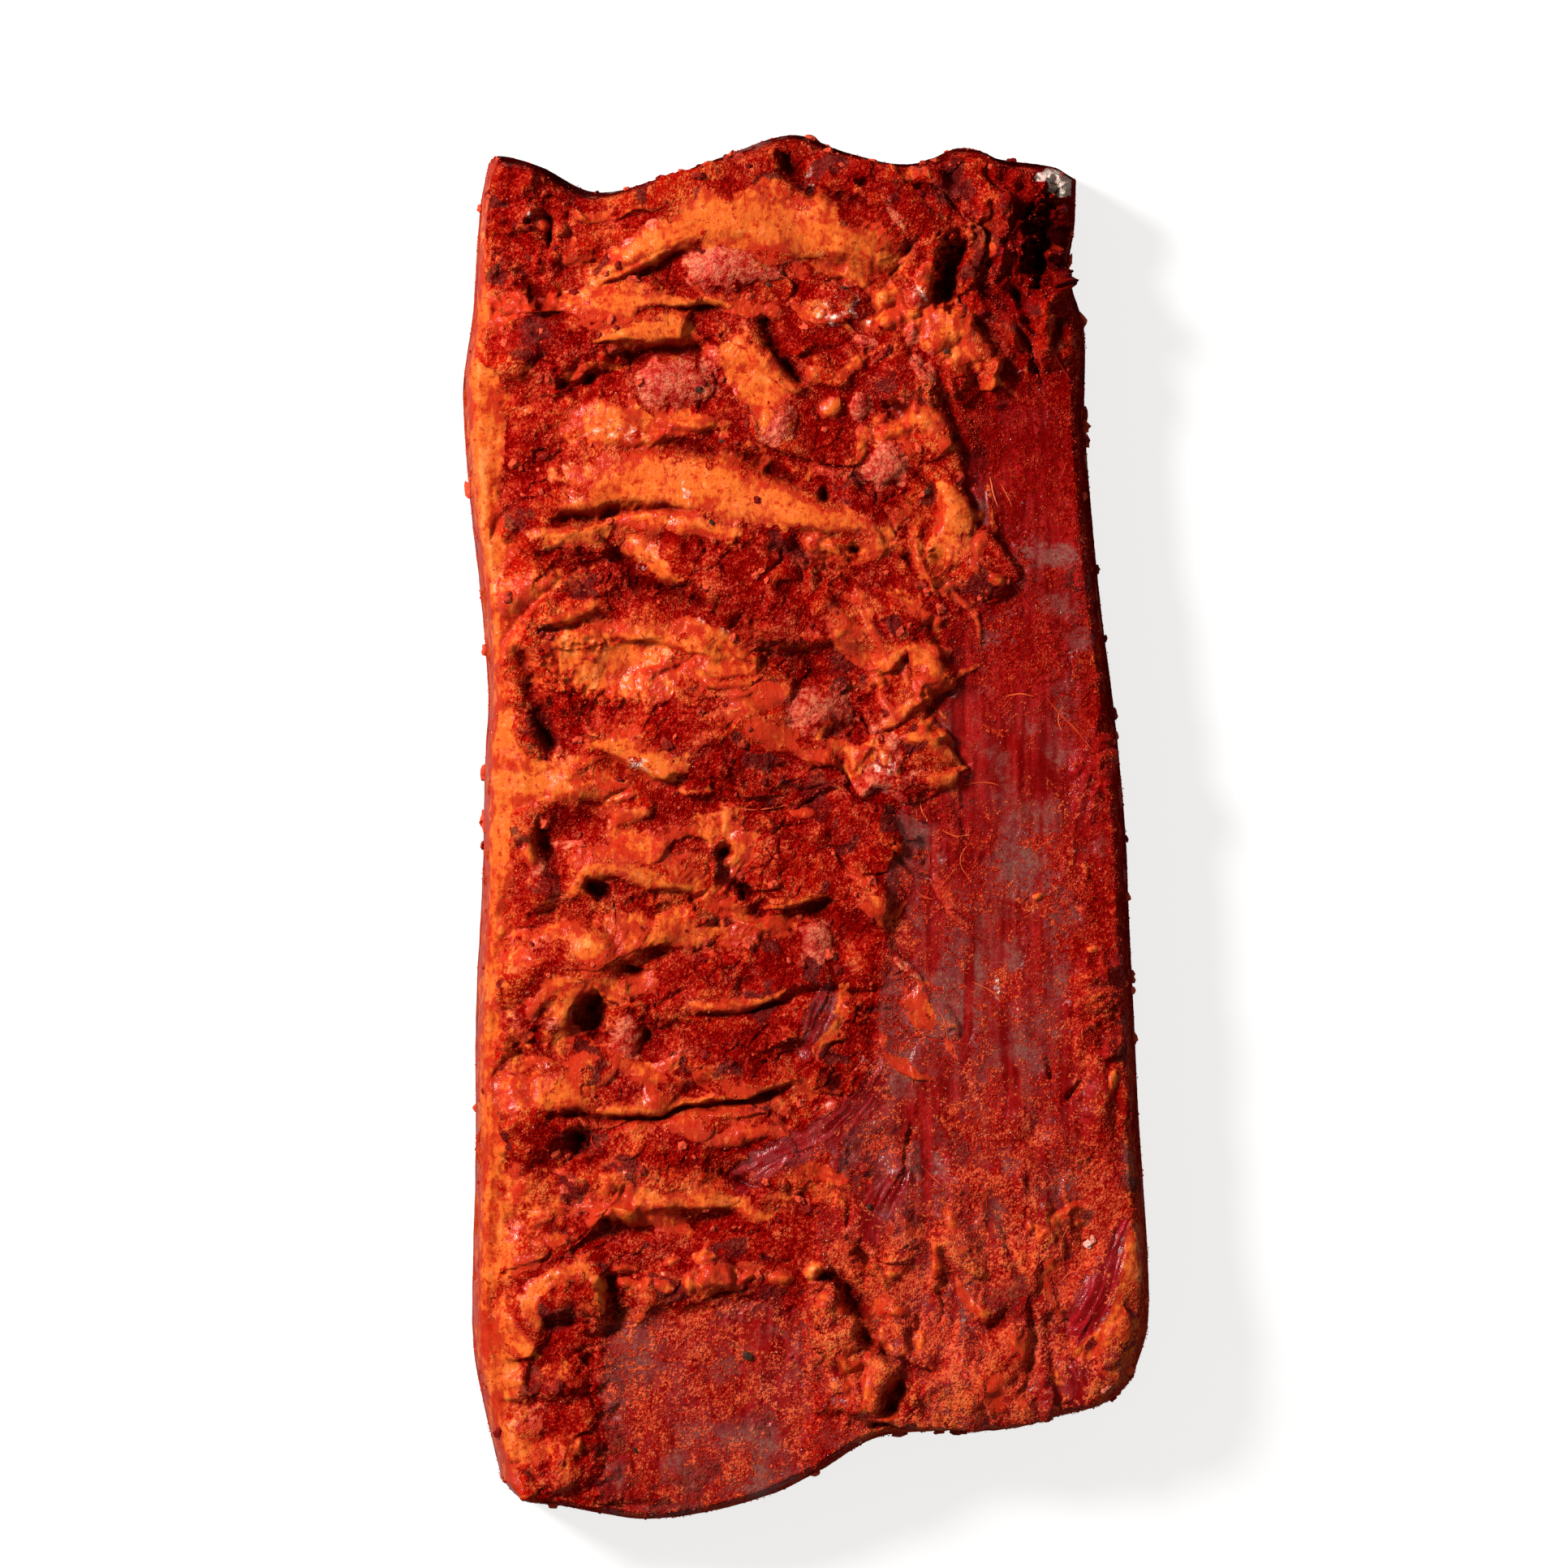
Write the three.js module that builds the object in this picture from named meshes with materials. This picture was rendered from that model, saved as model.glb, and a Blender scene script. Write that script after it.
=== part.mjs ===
// A whole slab of marinated pork belly, lying rind down with the rib side up.
// One grown-together piece of meat: fat comes up the left side and over the rib
// marks, the thin flank is a step lower on the right, and the sides flare out a
// little from the worn upper edges down to the flat rind.
// Millimetres, +Z up, +Y along the slab, origin at the middle of the rind face.
import * as THREE from "three";
import { mergeGeometries, mergeVertices } from "three/addons/utils/BufferGeometryUtils.js";

// ---- Driving dimensions -------------------------------------------------------
const RIB_LEVEL = 38; // thickness of the slab under the rib marks
const FLANK_DROP = 6; // how far the bare flank lies below the rib side
const PANEL_DROP = 3; // how far the smooth lower left end lies below it
const MARGIN_DROP = 3; // how far the fat margin along the left side slopes down
const RIND_EDGE_LIFT = 2.5; // height of the widest line of the side above the rind face
const RIND_EDGE_INSET = 1.5; // how far the rind face lies inside that line
const FLARE = { left: 6, right: 9, top: 7.5, bottom: 4.5 }; // run of each side, foot to shoulder
const SHOULDER = 1.9; // 1 is a straight slope, 2 a round shoulder
const LUMP_HEIGHT = 0.7; // general unevenness of the meat
const LUMP_LENGTH = 17; // its wavelength

// How finely the faces are divided.
const CELLS_ACROSS = 43;
const CELLS_ALONG = 90;
const SIDE_ROWS = [0, 0.8, 2.0, 4.0, 7.0]; // insets of the rows that make the sides

// ---- Outline of the widest line, seen from above -----------------------------------
// Each edge of the cut slab runs between two rounded corners.
const CORNER = {
  frontLeft: [-97.5, -207.5],
  frontRight: [104.5, -175],
  backRight: [86.3, 206.5],
  backLeft: [-101.5, 211.8],
};
const EDGE = {
  left: [
    CORNER.frontLeft, [-103.5, -182], [-106.4, -165], [-106.5, -142], [-105.6, -105], [-105.5, -60],
    [-103.4, -15], [-102.6, 20], [-101.6, 44], [-104.2, 76], [-107.4, 104], [-109.6, 138],
    [-106.6, 163], [-104.3, 196], CORNER.backLeft,
  ],
  right: [
    CORNER.frontRight, [109.2, -158], [108.8, -132], [106.2, -92], [104.6, -58], [103.2, -30],
    [101.9, 0], [98.6, 35], [94.4, 68], [91.2, 100], [89, 130], [88.8, 158], [83.9, 176],
    [85.8, 192], CORNER.backRight,
  ],
  front: [
    CORNER.frontLeft, [-90, -214.6], [-78, -216.6], [-64, -219.2], [-50, -220.7], [-30, -218.3],
    [-10, -212.6], [5, -205], [22, -195], [40, -192.6], [60, -192.3], [80, -188], [96, -183.2],
    CORNER.frontRight,
  ],
  back: [
    CORNER.backLeft, [-97, 214.3], [-84, 210.6], [-67, 202.8], [-45, 206.6], [-25, 214.2],
    [-4, 220.9], [14, 214.6], [33, 211.6], [49, 216.6], [62, 213], [78, 210.6], CORNER.backRight,
  ],
};

// ---- Relief -----------------------------------------------------------------------
// A fold or a furrow: [height, [x, y, half width], ...] along its crest or its bed.
const FOLDS = [
  // Fat folded over the rib marks, from the back of the slab to the front.
  [6.5, [-66, 173, 2], [-57, 180, 3], [-46, 187, 4], [-32, 193, 5], [-20, 194, 5.5], [-8, 193, 5.5],
    [4, 188, 5.5], [16, 187, 4.5], [28, 184, 3]],
  [3, [-72, 166, 3], [-63, 166, 4], [-54, 166, 3], [-42, 167, 2.4], [-30, 166, 2]],
  [5, [-66, 153.5, 2], [-57, 156, 3], [-49, 156.5, 4.5], [-40, 157, 4.8], [-36.5, 156, 4.5]],
  [4.5, [-24, 154, 2.4], [-17, 150, 2.6], [-12, 144.5, 2.6], [-7, 139.5, 2.4], [-1, 136.5, 2]],
  [2.5, [-24, 144, 5], [-17, 138, 6], [-13, 130, 5]],
  [7, [-74, 102, 3], [-66, 106, 4], [-57, 109.5, 6], [-47, 111.5, 7.5], [-36, 111, 7.5], [-25, 108.5, 7],
    [-15, 104, 6], [-5, 100, 4.5], [6, 98, 3.5], [14, 96, 2.5]],
  [4, [-84, 65, 2.4], [-76, 69, 3], [-66, 71, 3.5], [-56, 69, 3.5], [-46, 66.5, 3.5], [-37, 64.5, 3],
    [-28, 61.5, 2.6], [-20, 57, 2.6], [-13, 52, 2.2]],
  [3.5, [-31, 48, 2.2], [-24, 48.5, 2.6], [-15, 50, 2.4]],
  [5, [-67, 26.5, 2.6], [-59, 25.5, 4.4], [-51, 22, 4.8], [-44, 18, 4], [-40, 15, 2.4]],
  [3.5, [-90, 0, 3.5], [-87, -8, 4], [-85, -18, 4.4], [-81, -25, 3.5]],
  [4.5, [-76, -22, 2.4], [-71.5, -18.5, 2.4], [-69, -14, 2.4], [-64.5, -12, 2.6], [-58, -13, 2.6],
    [-50, -16, 2.4], [-42, -17.5, 2.4], [-33, -22, 2.2]],
  [2, [-50, -33, 3], [-42, -35, 3.4], [-34, -35, 3.4], [-24, -35.5, 3], [-17, -36, 2.4]],
  [4.5, [-76, -66, 2.2], [-77, -60, 2.4], [-75.5, -54.5, 2.4], [-72, -51, 2.4], [-66, -50.5, 2.4],
    [-60, -53, 2.4], [-55, -56.5, 2.2]],
  [2.5, [-38, -54.5, 2.2], [-27, -56, 2.4], [-17, -55, 2.4], [-8, -52, 2.2]],
  [3.2, [-66, -88.5, 2], [-56, -89, 2.6], [-48, -89, 2.6], [-38, -87, 2.6], [-27, -85, 2.4],
    [-16, -82.5, 2.2], [-6, -80.5, 2]],
  [3, [-52, -115, 3], [-42, -117.5, 3.4], [-30, -117, 3.4], [-20, -118.5, 3], [-13, -122, 2.6]],
  [3.5, [-84, -142, 2.6], [-77, -139, 3], [-70, -138, 3], [-64.5, -141, 2.8], [-62.5, -146, 2.4]],
  [3, [-94, -151, 2.6], [-93, -158, 3], [-90, -164, 3.2], [-84, -167.5, 3], [-75, -168, 2.6]],
  // The torn back end and the knobbly right half.
  [4, [2, 210, 4], [12, 205, 5.5], [24, 201, 6], [36, 199, 6], [46, 199, 5]],
  [4, [53, 201, 3.6], [54, 194, 3.2], [53.5, 187, 2.6], [52.8, 180, 2.2], [52.5, 174, 2]],
  [3, [64, 203, 4], [65, 190, 5], [64, 178, 4]],
  [2.5, [24, 155, 4], [34, 149, 5], [44, 143, 4]],
  [5, [43, 108, 4.5], [46, 101, 6], [46, 93, 6.5], [42, 86, 4.5]],
  [4, [23, 50, 3], [28, 54, 3.4], [33, 57, 3.4], [38, 51, 3.4], [43, 45, 2.8]],
  [3.5, [25, 33.5, 2.6], [31, 38, 2.8], [37, 41, 2.4]],
  [3.5, [35, 30, 2], [40, 26.5, 2.2], [45, 21.5, 2.2], [49, 19, 2.2], [45, 16.5, 2.2], [39, 17.5, 2]],
  // Upright folds of the lower right end, and the bare muscle with its fat.
  [3, [41.5, -129, 2.4], [42.5, -137, 2.8], [41, -147, 2.4]],
  [2.5, [76, -117, 2.4], [76.5, -125, 2.6], [73.5, -135, 2.6], [71.5, -145, 2.2]],
  [2.5, [102, -128, 4], [99, -140, 5.5], [94, -150, 5.5], [87, -159, 4]],
  // Furrows, clefts and the undersides of the folds.
  [-6, [-5, 217, 2], [-6, 211, 2.2], [-4, 205, 2.4], [-1, 199.5, 2.4], [5, 196.5, 2.2], [14, 193, 2.2],
    [22, 189, 2]],
  [-4, [-57, 173.5, 2], [-48, 177.5, 2.6], [-40, 181.5, 2.6], [-31, 186, 2.4], [-22, 187.5, 2]],
  [-4.5, [-60, 149, 2], [-50, 150, 2.2], [-40, 150.5, 2.2], [-31, 150, 2]],
  [-6, [-91, 178, 2.6], [-87, 172, 3], [-83, 166, 3.2], [-79, 161, 3], [-78, 156, 2.4]],
  [-5, [-79, 140.5, 2], [-74, 141.5, 2.2], [-66, 141, 2]],
  [-7, [-14, 163, 2.2], [-11.5, 156, 2.6], [-8.5, 150, 2.6], [-4.5, 144, 2.4], [-1, 140, 2]],
  [-4.5, [-62, 121, 2], [-50, 121, 2.2], [-40, 120.5, 2.2], [-30, 119, 2.2], [-20, 116.5, 2.2],
    [-12, 113, 2.2], [-4, 109.5, 2.2], [3, 107, 2]],
  [-6, [-80, 95.5, 2], [-71, 99.5, 2.4], [-63, 101.2, 2.4], [-54, 101.6, 2.4], [-44, 101, 2.2],
    [-34, 100.3, 2]],
  [-6, [-60, 91, 2.6], [-58, 86, 2.8], [-53, 81, 2.8], [-46, 78, 2.4], [-40, 77, 2]],
  [-4.5, [-62, 77, 3], [-50, 74.5, 4], [-38, 72, 4], [-27, 69, 4], [-17, 64, 4], [-8, 59, 4],
    [2, 57, 3]],
  [-7, [-91, 59, 2.2], [-89, 50, 2.6], [-87, 43, 2.8], [-84.5, 36, 2.8], [-82, 30, 2.6], [-80, 24, 2.2]],
  [-5, [-84, 3, 2], [-82, -5, 2.4], [-80, -12, 2.4], [-77.5, -18, 2]],
  [-4, [-72, -26, 2], [-62, -34, 2.4], [-57, -41, 2.4], [-51, -46, 2]],
  [-5, [-40, -20.5, 2], [-30, -26.5, 2.2], [-20, -27.5, 2.2], [-10, -27.5, 2.4], [0, -27, 3.2],
    [6, -23, 2.6]],
  [-3.5, [-42, -58.5, 2], [-30, -60, 2], [-18, -57.5, 2], [-6, -54.5, 2], [8, -51.5, 2], [24, -51.5, 2]],
  [-5, [-87, -91, 2], [-74, -91.2, 2.2], [-60, -92.3, 2.4], [-50, -92.8, 2.2], [-40, -91.5, 2.2],
    [-30, -88.7, 2.2], [-20, -87.5, 2], [-8, -83, 2]],
  [-4, [-92.5, -64, 2], [-90.5, -73, 2.2], [-88.5, -82, 2.2], [-87.5, -89, 2]],
  [-3.5, [-72, -126, 3], [-60, -128, 3.4], [-50, -127, 3.4], [-38, -124.5, 3.2], [-25, -122.5, 3]],
  [-9, [-61.5, -140.5, 2], [-61, -146, 2.6], [-60, -152, 2.6], [-58.5, -157.5, 2]],
  [-5, [-70, -162, 2.2], [-68.5, -171, 2.6], [-69, -179, 2.6], [-64, -185, 2.4], [-60, -188, 2]],
  [-9, [4, -141.5, 2], [10, -143.5, 2.4], [14.5, -148, 2.8], [18.5, -154, 3], [22, -160.5, 3],
    [25, -166, 2.6], [27, -171, 2]],
  [-8, [31, -176, 2], [27.5, -179, 2.8], [27.5, -185, 2.8], [27.5, -192, 2.4]],
  [-5, [52, 161, 2], [56, 157.5, 2.2], [60.5, 153, 2.4], [62, 147, 2.4], [61, 142, 2]],
  [-4, [44.5, -131, 2], [45, -139, 2.2], [43.5, -147, 2]],
  [-3.5, [71, -149, 2], [72.5, -157, 2.2], [71.5, -166, 2.2], [70, -175, 2]],
];

// A swelling or a hollow: [height, x, y, half length, half width, turn in degrees].
const SWELLINGS = [
  [4.5, -26, 178, 16, 10, 8], [4.5, -41, 141, 15, 9, 0], [3, -63.5, 127.5, 9, 7.5, 0],
  [4, 43, 158, 8, 8, 0], [3.5, 35, 167, 5, 4.5, 0], [4, 10, 163, 11, 10, -30], [3.5, 58, 141.5, 5, 4, 35],
  [3, 17, 133, 5, 6, 0], [2.5, 27, 124.5, 7, 4, 0], [2.5, 25, 115, 8, 9, 0], [4.5, -16, 84, 30, 21, -8],
  [4.5, -87, 28, 5.5, 9, 20], [4.5, 6, 37, 11, 9, 0], [4, 57, 81, 11, 12, 0], [2.5, -57, -66, 6, 8, 0],
  [3.5, -82, -83, 8, 7, 0], [3.5, -56, -123, 6.5, 4.5, -20], [4, -73, -147, 13, 10, 0],
  [4, -30, -141, 9, 8, 0], [2.5, -78, -176, 9, 7, 0], [3, -77, -199, 8, 13, 0], [4, 9, -160, 10, 14, 20],
  [4, 25, -173.5, 6, 6, 0], [2.5, 29, -136, 7, 7, 0], [3, 2, -140, 5, 4.5, 0], [4, 75.5, 173, 5, 5.5, 0],
  [3, 74, 152, 12, 8, -30], [3, 90, 126, 4, 7, 0], [3, 94, 22, 5, 9, 0], [4, -88, 191, 7, 9, 20],
  [3, -97, 205, 6, 9, 0], [3, 90, -52, 9, 12, 0], [3, 93, -88, 6, 16, 0], [3, 55, -178, 10, 14, 0],
  [-9, 46, 179, 6, 13, 0], [-9, 76, 189, 5.5, 14, -8], [-5.5, -63, 51, 24, 11, 0],
  [-3.5, -60, 35, 24, 7, 0], [-8, -65, -20.5, 7, 4.5, 0], [-4, -47, -28, 16, 9, -10],
  [-6, -22, -14, 8, 10, 0], [-9, -69, -59.5, 6, 9, 0], [-6, -69, -98, 7, 6, 0], [-3, 10, -80, 9, 8, 0],
  [-3, 18, -136, 5, 9, 0],
];

// The ragged step from the rib side down to the flank: [y, x, share of the full drop].
const STEP = [
  [230, 62, 0.4], [190, 57, 0.4], [165, 52, 0.4], [155, 58, 0.5], [145, 61, 0.6], [139, 52, 0.8],
  [134, 44, 0.9], [118, 48, 0.9], [104, 52, 0.9], [97, 54, 0.8], [92, 58, 0.6], [83, 67, 0.4],
  [79, 67, 0.4], [69, 54, 0.5], [58, 41, 0.5], [45, 44, 0.5], [35, 38, 0.6], [22, 48, 0.6],
  [16, 47, 0.5], [6, 29, 0.5], [-12, 27, 0.4], [-25, 24, 0.4], [-50, 23, 0.4], [-75, 22, 0.3],
  [-110, 5, 0.2], [-150, 0, 0.1], [-230, 0, 0.1],
];
const STEP_RUN = 8; // how far across the step takes to fall
const STEP_BEFORE = 3; // how much of that lies on the rib side's part

// The smooth lower left end, and where the fat margin meets the meat.
const PANEL = { left: -64, right: 3, back: -152 };
const PANEL_BORDER = 5; // half the width over which its sides fall
const MARGIN_START = -99;
const MARGIN_END = -88;

// ---- Shape functions --------------------------------------------------------------
const { smoothstep, lerp, degToRad, clamp } = THREE.MathUtils;

const edgeCurve = (points) => new THREE.SplineCurve(points.map(([x, y]) => new THREE.Vector2(x, y)));
const LEFT = edgeCurve(EDGE.left);
const RIGHT = edgeCurve(EDGE.right);
const FRONT = edgeCurve(EDGE.front);
const BACK = edgeCurve(EDGE.back);

// The outline as one ring of points, each with the outward direction of the side there.
const RING_STEPS = 110;
function outlineRing() {
  const runs = [
    FRONT.getSpacedPoints(RING_STEPS),
    RIGHT.getSpacedPoints(RING_STEPS),
    BACK.getSpacedPoints(RING_STEPS).reverse(),
    LEFT.getSpacedPoints(RING_STEPS).reverse(),
  ];
  const ring = runs.flatMap((run) => run.slice(0, -1));
  return ring.map((point, i) => {
    const before = ring[(i + ring.length - 2) % ring.length];
    const after = ring[(i + 2) % ring.length];
    const along = after.clone().sub(before).normalize();
    return { point, out: new THREE.Vector2(along.y, -along.x) };
  });
}
const RING = outlineRing();

// A curve through a fold's points; its third coordinate is the half width there.
const FOLD_STEPS = 5;
const folds = FOLDS.map(([height, ...points]) => {
  const curve = new THREE.CatmullRomCurve3(points.map((p) => new THREE.Vector3(...p)));
  return { height, points: curve.getPoints((points.length - 1) * FOLD_STEPS) };
});

const FOLD_REACH = 2.6; // in half widths, past which a fold adds nothing
const FOLD_TAPER = 0.16; // share of its length over which each end runs out
const FOLD_BLUNT = 0.08; // how much of the taper the very end has left
const bell = (q) => Math.exp(-Math.LN2 * q * q);

function foldHeight({ height, points }, x, y) {
  let best = Infinity;
  let along = 0;
  for (let i = 0; i + 1 < points.length; i += 1) {
    const a = points[i];
    const b = points[i + 1];
    const run = (b.x - a.x) ** 2 + (b.y - a.y) ** 2;
    const t = clamp(((x - a.x) * (b.x - a.x) + (y - a.y) * (b.y - a.y)) / run, 0, 1);
    const gap = Math.hypot(x - lerp(a.x, b.x, t), y - lerp(a.y, b.y, t)) / lerp(a.z, b.z, t);
    if (gap < best) {
      best = gap;
      along = (i + t) / (points.length - 1);
    }
  }
  if (best > FOLD_REACH) return 0;
  const ends = smoothstep(Math.min(along, 1 - along), -FOLD_BLUNT, FOLD_TAPER);
  return height * bell(best) * ends;
}

function swellingHeight([height, cx, cy, halfLength, halfWidth, turn], x, y) {
  const angle = degToRad(turn);
  const u = ((x - cx) * Math.cos(angle) + (y - cy) * Math.sin(angle)) / halfLength;
  const v = ((y - cy) * Math.cos(angle) - (x - cx) * Math.sin(angle)) / halfWidth;
  const inside = Math.max(0, 1 - u * u - v * v);
  return height * inside * Math.sqrt(inside);
}

// Place and depth of the step at y.
function stepAt(y) {
  const i = STEP.findIndex(([low], k) => k > 0 && y >= low);
  const [y0, x0, drop0] = STEP[i - 1];
  const [y1, x1, drop1] = STEP[i];
  const t = (y - y0) / (y1 - y0);
  return [lerp(x0, x1, t), lerp(drop0, drop1, t)];
}

// General unevenness: waves that cross at odd angles, each shorter than the one before.
const LUMP_TURNS = [0.4, 1.7, 2.6];
const LUMP_SHRINK = 1.3;
function lumps(x, y) {
  const waves = LUMP_TURNS.map((turn, i) => {
    const along = x * Math.cos(turn) + y * Math.sin(turn);
    return Math.sin((2 * Math.PI * along * LUMP_SHRINK ** i) / LUMP_LENGTH + i);
  });
  return waves.reduce((sum, height) => sum + height, 0) / waves.length;
}

// Broad levels of the slab's upper face: flank, lower left end and left margin lie lower.
function levelAt(x, y) {
  const [stepX, share] = stepAt(y);
  const stepStart = stepX - STEP_BEFORE;
  const flank = FLANK_DROP * share * smoothstep(x, stepStart, stepStart + STEP_RUN);
  const past = (value, border) => smoothstep(value, border - PANEL_BORDER, border + PANEL_BORDER);
  const panel =
    PANEL_DROP * past(x, PANEL.left) * (1 - past(x, PANEL.right)) * past(-y, -PANEL.back);
  const margin = MARGIN_DROP * (1 - smoothstep(x, MARGIN_START, MARGIN_END));
  return RIB_LEVEL - flank - panel - margin;
}

function faceHeight(x, y) {
  let height = levelAt(x, y) + LUMP_HEIGHT * lumps(x, y);
  for (const fold of folds) height += foldHeight(fold, x, y);
  for (const swelling of SWELLINGS) height += swellingHeight(swelling, x, y);
  return height;
}

// Height of the slab's skin: the upper face, brought down to the rind's edge by the side.
function skinHeight(x, y) {
  let nearest = Infinity;
  let out = null;
  for (const place of RING) {
    const gap = Math.hypot(x - place.point.x, y - place.point.y);
    if (gap < nearest) {
      nearest = gap;
      out = place.out;
    }
  }
  const flare =
    FLARE.left * Math.min(out.x, 0) ** 2 + FLARE.right * Math.max(out.x, 0) ** 2 +
    FLARE.top * Math.max(out.y, 0) ** 2 + FLARE.bottom * Math.min(out.y, 0) ** 2;
  const inward = Math.min(nearest / flare, 1);
  const rise = (1 - (1 - inward) ** SHOULDER) ** (1 / SHOULDER);
  return lerp(RIND_EDGE_LIFT, faceHeight(x, y), rise);
}

// ---- The solid --------------------------------------------------------------------
// Where the rows of the net lie along one direction, as shares of its span: close rows
// for the two sides, even ones between them.
function rowShares(cells, span) {
  const side = SIDE_ROWS.map((inset) => inset / span);
  const inner = side.at(-1);
  const even = Array.from({ length: cells - 1 }, (_, i) => lerp(inner, 1 - inner, (i + 1) / cells));
  return [...side, ...even, ...side.map((share) => 1 - share).reverse()];
}

// A Coons patch: the point of the outline's inside at shares u across and v along.
function insideOutline(u, v) {
  const low = FRONT.getPointAt(u);
  const high = BACK.getPointAt(u);
  const left = LEFT.getPointAt(v);
  const right = RIGHT.getPointAt(v);
  const [a, b] = [FRONT.getPointAt(0), FRONT.getPointAt(1)];
  const [c, d] = [BACK.getPointAt(0), BACK.getPointAt(1)];
  const mix = (axis) =>
    lerp(low[axis], high[axis], v) + lerp(left[axis], right[axis], u) -
    lerp(lerp(a[axis], b[axis], u), lerp(c[axis], d[axis], u), v);
  return [mix("x"), mix("y")];
}

const SPAN_ACROSS = 208; // about the slab's width and length, which the insets are shares of
const SPAN_ALONG = 425;

function upperSkin(across, along) {
  const net = new THREE.PlaneGeometry(1, 1, across.length - 1, along.length - 1);
  const position = net.attributes.position;
  along.toReversed().forEach((v, row) => {
    across.forEach((u, column) => {
      const [x, y] = insideOutline(u, v);
      const onEdge = u === 0 || u === 1 || v === 0 || v === 1;
      const z = onEdge ? RIND_EDGE_LIFT : skinHeight(x, y);
      position.setXYZ(row * across.length + column, x, y, z);
    });
  });
  return net;
}

// The shares of the net's border points, once round counter-clockwise.
function borderShares(across, along) {
  return [
    ...across.slice(0, -1).map((u) => [u, 0]),
    ...along.slice(0, -1).map((v) => [1, v]),
    ...across.slice(1).reverse().map((u) => [u, 1]),
    ...along.slice(1).reverse().map((v) => [0, v]),
  ];
}

// The flat rind face ends a little inside the widest line.
function rindOutline(border) {
  const [sideInset, endInset] = [RIND_EDGE_INSET / SPAN_ACROSS, RIND_EDGE_INSET / SPAN_ALONG];
  return border.map(([u, v]) => {
    const [x, y] = insideOutline(lerp(sideInset, 1 - sideInset, u), lerp(endInset, 1 - endInset, v));
    return new THREE.Vector2(x, y);
  });
}

// The narrow band that joins the widest line to the rind face.
function rindEdge(border, rind) {
  const band = new THREE.PlaneGeometry(1, 1, border.length, 1);
  for (let i = 0; i <= border.length; i += 1) {
    const k = i % border.length;
    band.attributes.position.setXYZ(i, ...insideOutline(...border[k]), RIND_EDGE_LIFT);
    band.attributes.position.setXYZ(border.length + 1 + i, rind[k].x, rind[k].y, 0);
  }
  return band;
}

function rindFace(rind) {
  const face = new THREE.ShapeGeometry(new THREE.Shape(rind));
  const index = face.index.array;
  for (let i = 0; i < index.length; i += 3) [index[i + 1], index[i + 2]] = [index[i + 2], index[i + 1]];
  return face;
}

function porkBelly() {
  const across = rowShares(CELLS_ACROSS, SPAN_ACROSS);
  const along = rowShares(CELLS_ALONG, SPAN_ALONG);
  const border = borderShares(across, along);
  const rind = rindOutline(border);
  const parts = [upperSkin(across, along), rindEdge(border, rind), rindFace(rind)];
  for (const part of parts) {
    part.deleteAttribute("normal");
    part.deleteAttribute("uv");
  }
  const solid = mergeVertices(mergeGeometries(parts));
  solid.computeBoundingBox();
  const middle = solid.boundingBox.getCenter(new THREE.Vector3());
  solid.translate(-middle.x, -middle.y, 0);
  solid.computeVertexNormals();
  return solid;
}

const meat = new THREE.MeshStandardMaterial({ color: 0x9f2a1a, roughness: 0.55, metalness: 0 });
const belly = new THREE.Mesh(porkBelly(), meat);
belly.name = "pork_belly";

const slab = new THREE.Group();
slab.add(belly);

export default slab;
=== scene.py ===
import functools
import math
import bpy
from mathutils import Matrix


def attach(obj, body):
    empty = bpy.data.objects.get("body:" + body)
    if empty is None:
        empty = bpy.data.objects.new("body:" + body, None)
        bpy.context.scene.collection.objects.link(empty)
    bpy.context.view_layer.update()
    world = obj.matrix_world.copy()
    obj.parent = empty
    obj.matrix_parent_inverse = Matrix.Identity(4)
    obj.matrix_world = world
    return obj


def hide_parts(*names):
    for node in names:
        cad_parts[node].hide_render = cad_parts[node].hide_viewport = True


bl_info = {
    "name": "Marinated pork belly",
    "version": (1, 0, 0),
    "blender": (4, 5, 0),
    "location": "View3D > Sidebar > Pork belly",
    "description": "Dresses a slab of marinated pork belly: meat, folded fat, rind, spice rub and crumbs",
    "category": "Object",
}

import bmesh
import bpy
import numpy as np
from bpy.props import FloatProperty, FloatVectorProperty, IntProperty, PointerProperty
from bpy.types import Operator, Panel, PropertyGroup
from mathutils import Matrix, Vector

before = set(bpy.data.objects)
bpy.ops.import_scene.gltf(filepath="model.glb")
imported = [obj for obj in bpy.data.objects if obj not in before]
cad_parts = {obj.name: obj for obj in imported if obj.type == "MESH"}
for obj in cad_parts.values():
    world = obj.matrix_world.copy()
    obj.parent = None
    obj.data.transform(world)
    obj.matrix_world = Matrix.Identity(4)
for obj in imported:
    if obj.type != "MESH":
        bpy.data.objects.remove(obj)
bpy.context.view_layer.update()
NODE = "pork_belly"
MM = 0.001

# ---- Places on the slab ----
# They are in millimetres, as the slab is seen from above: x across from the fat margin
# to the bare flank, y along to the torn back end.

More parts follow.
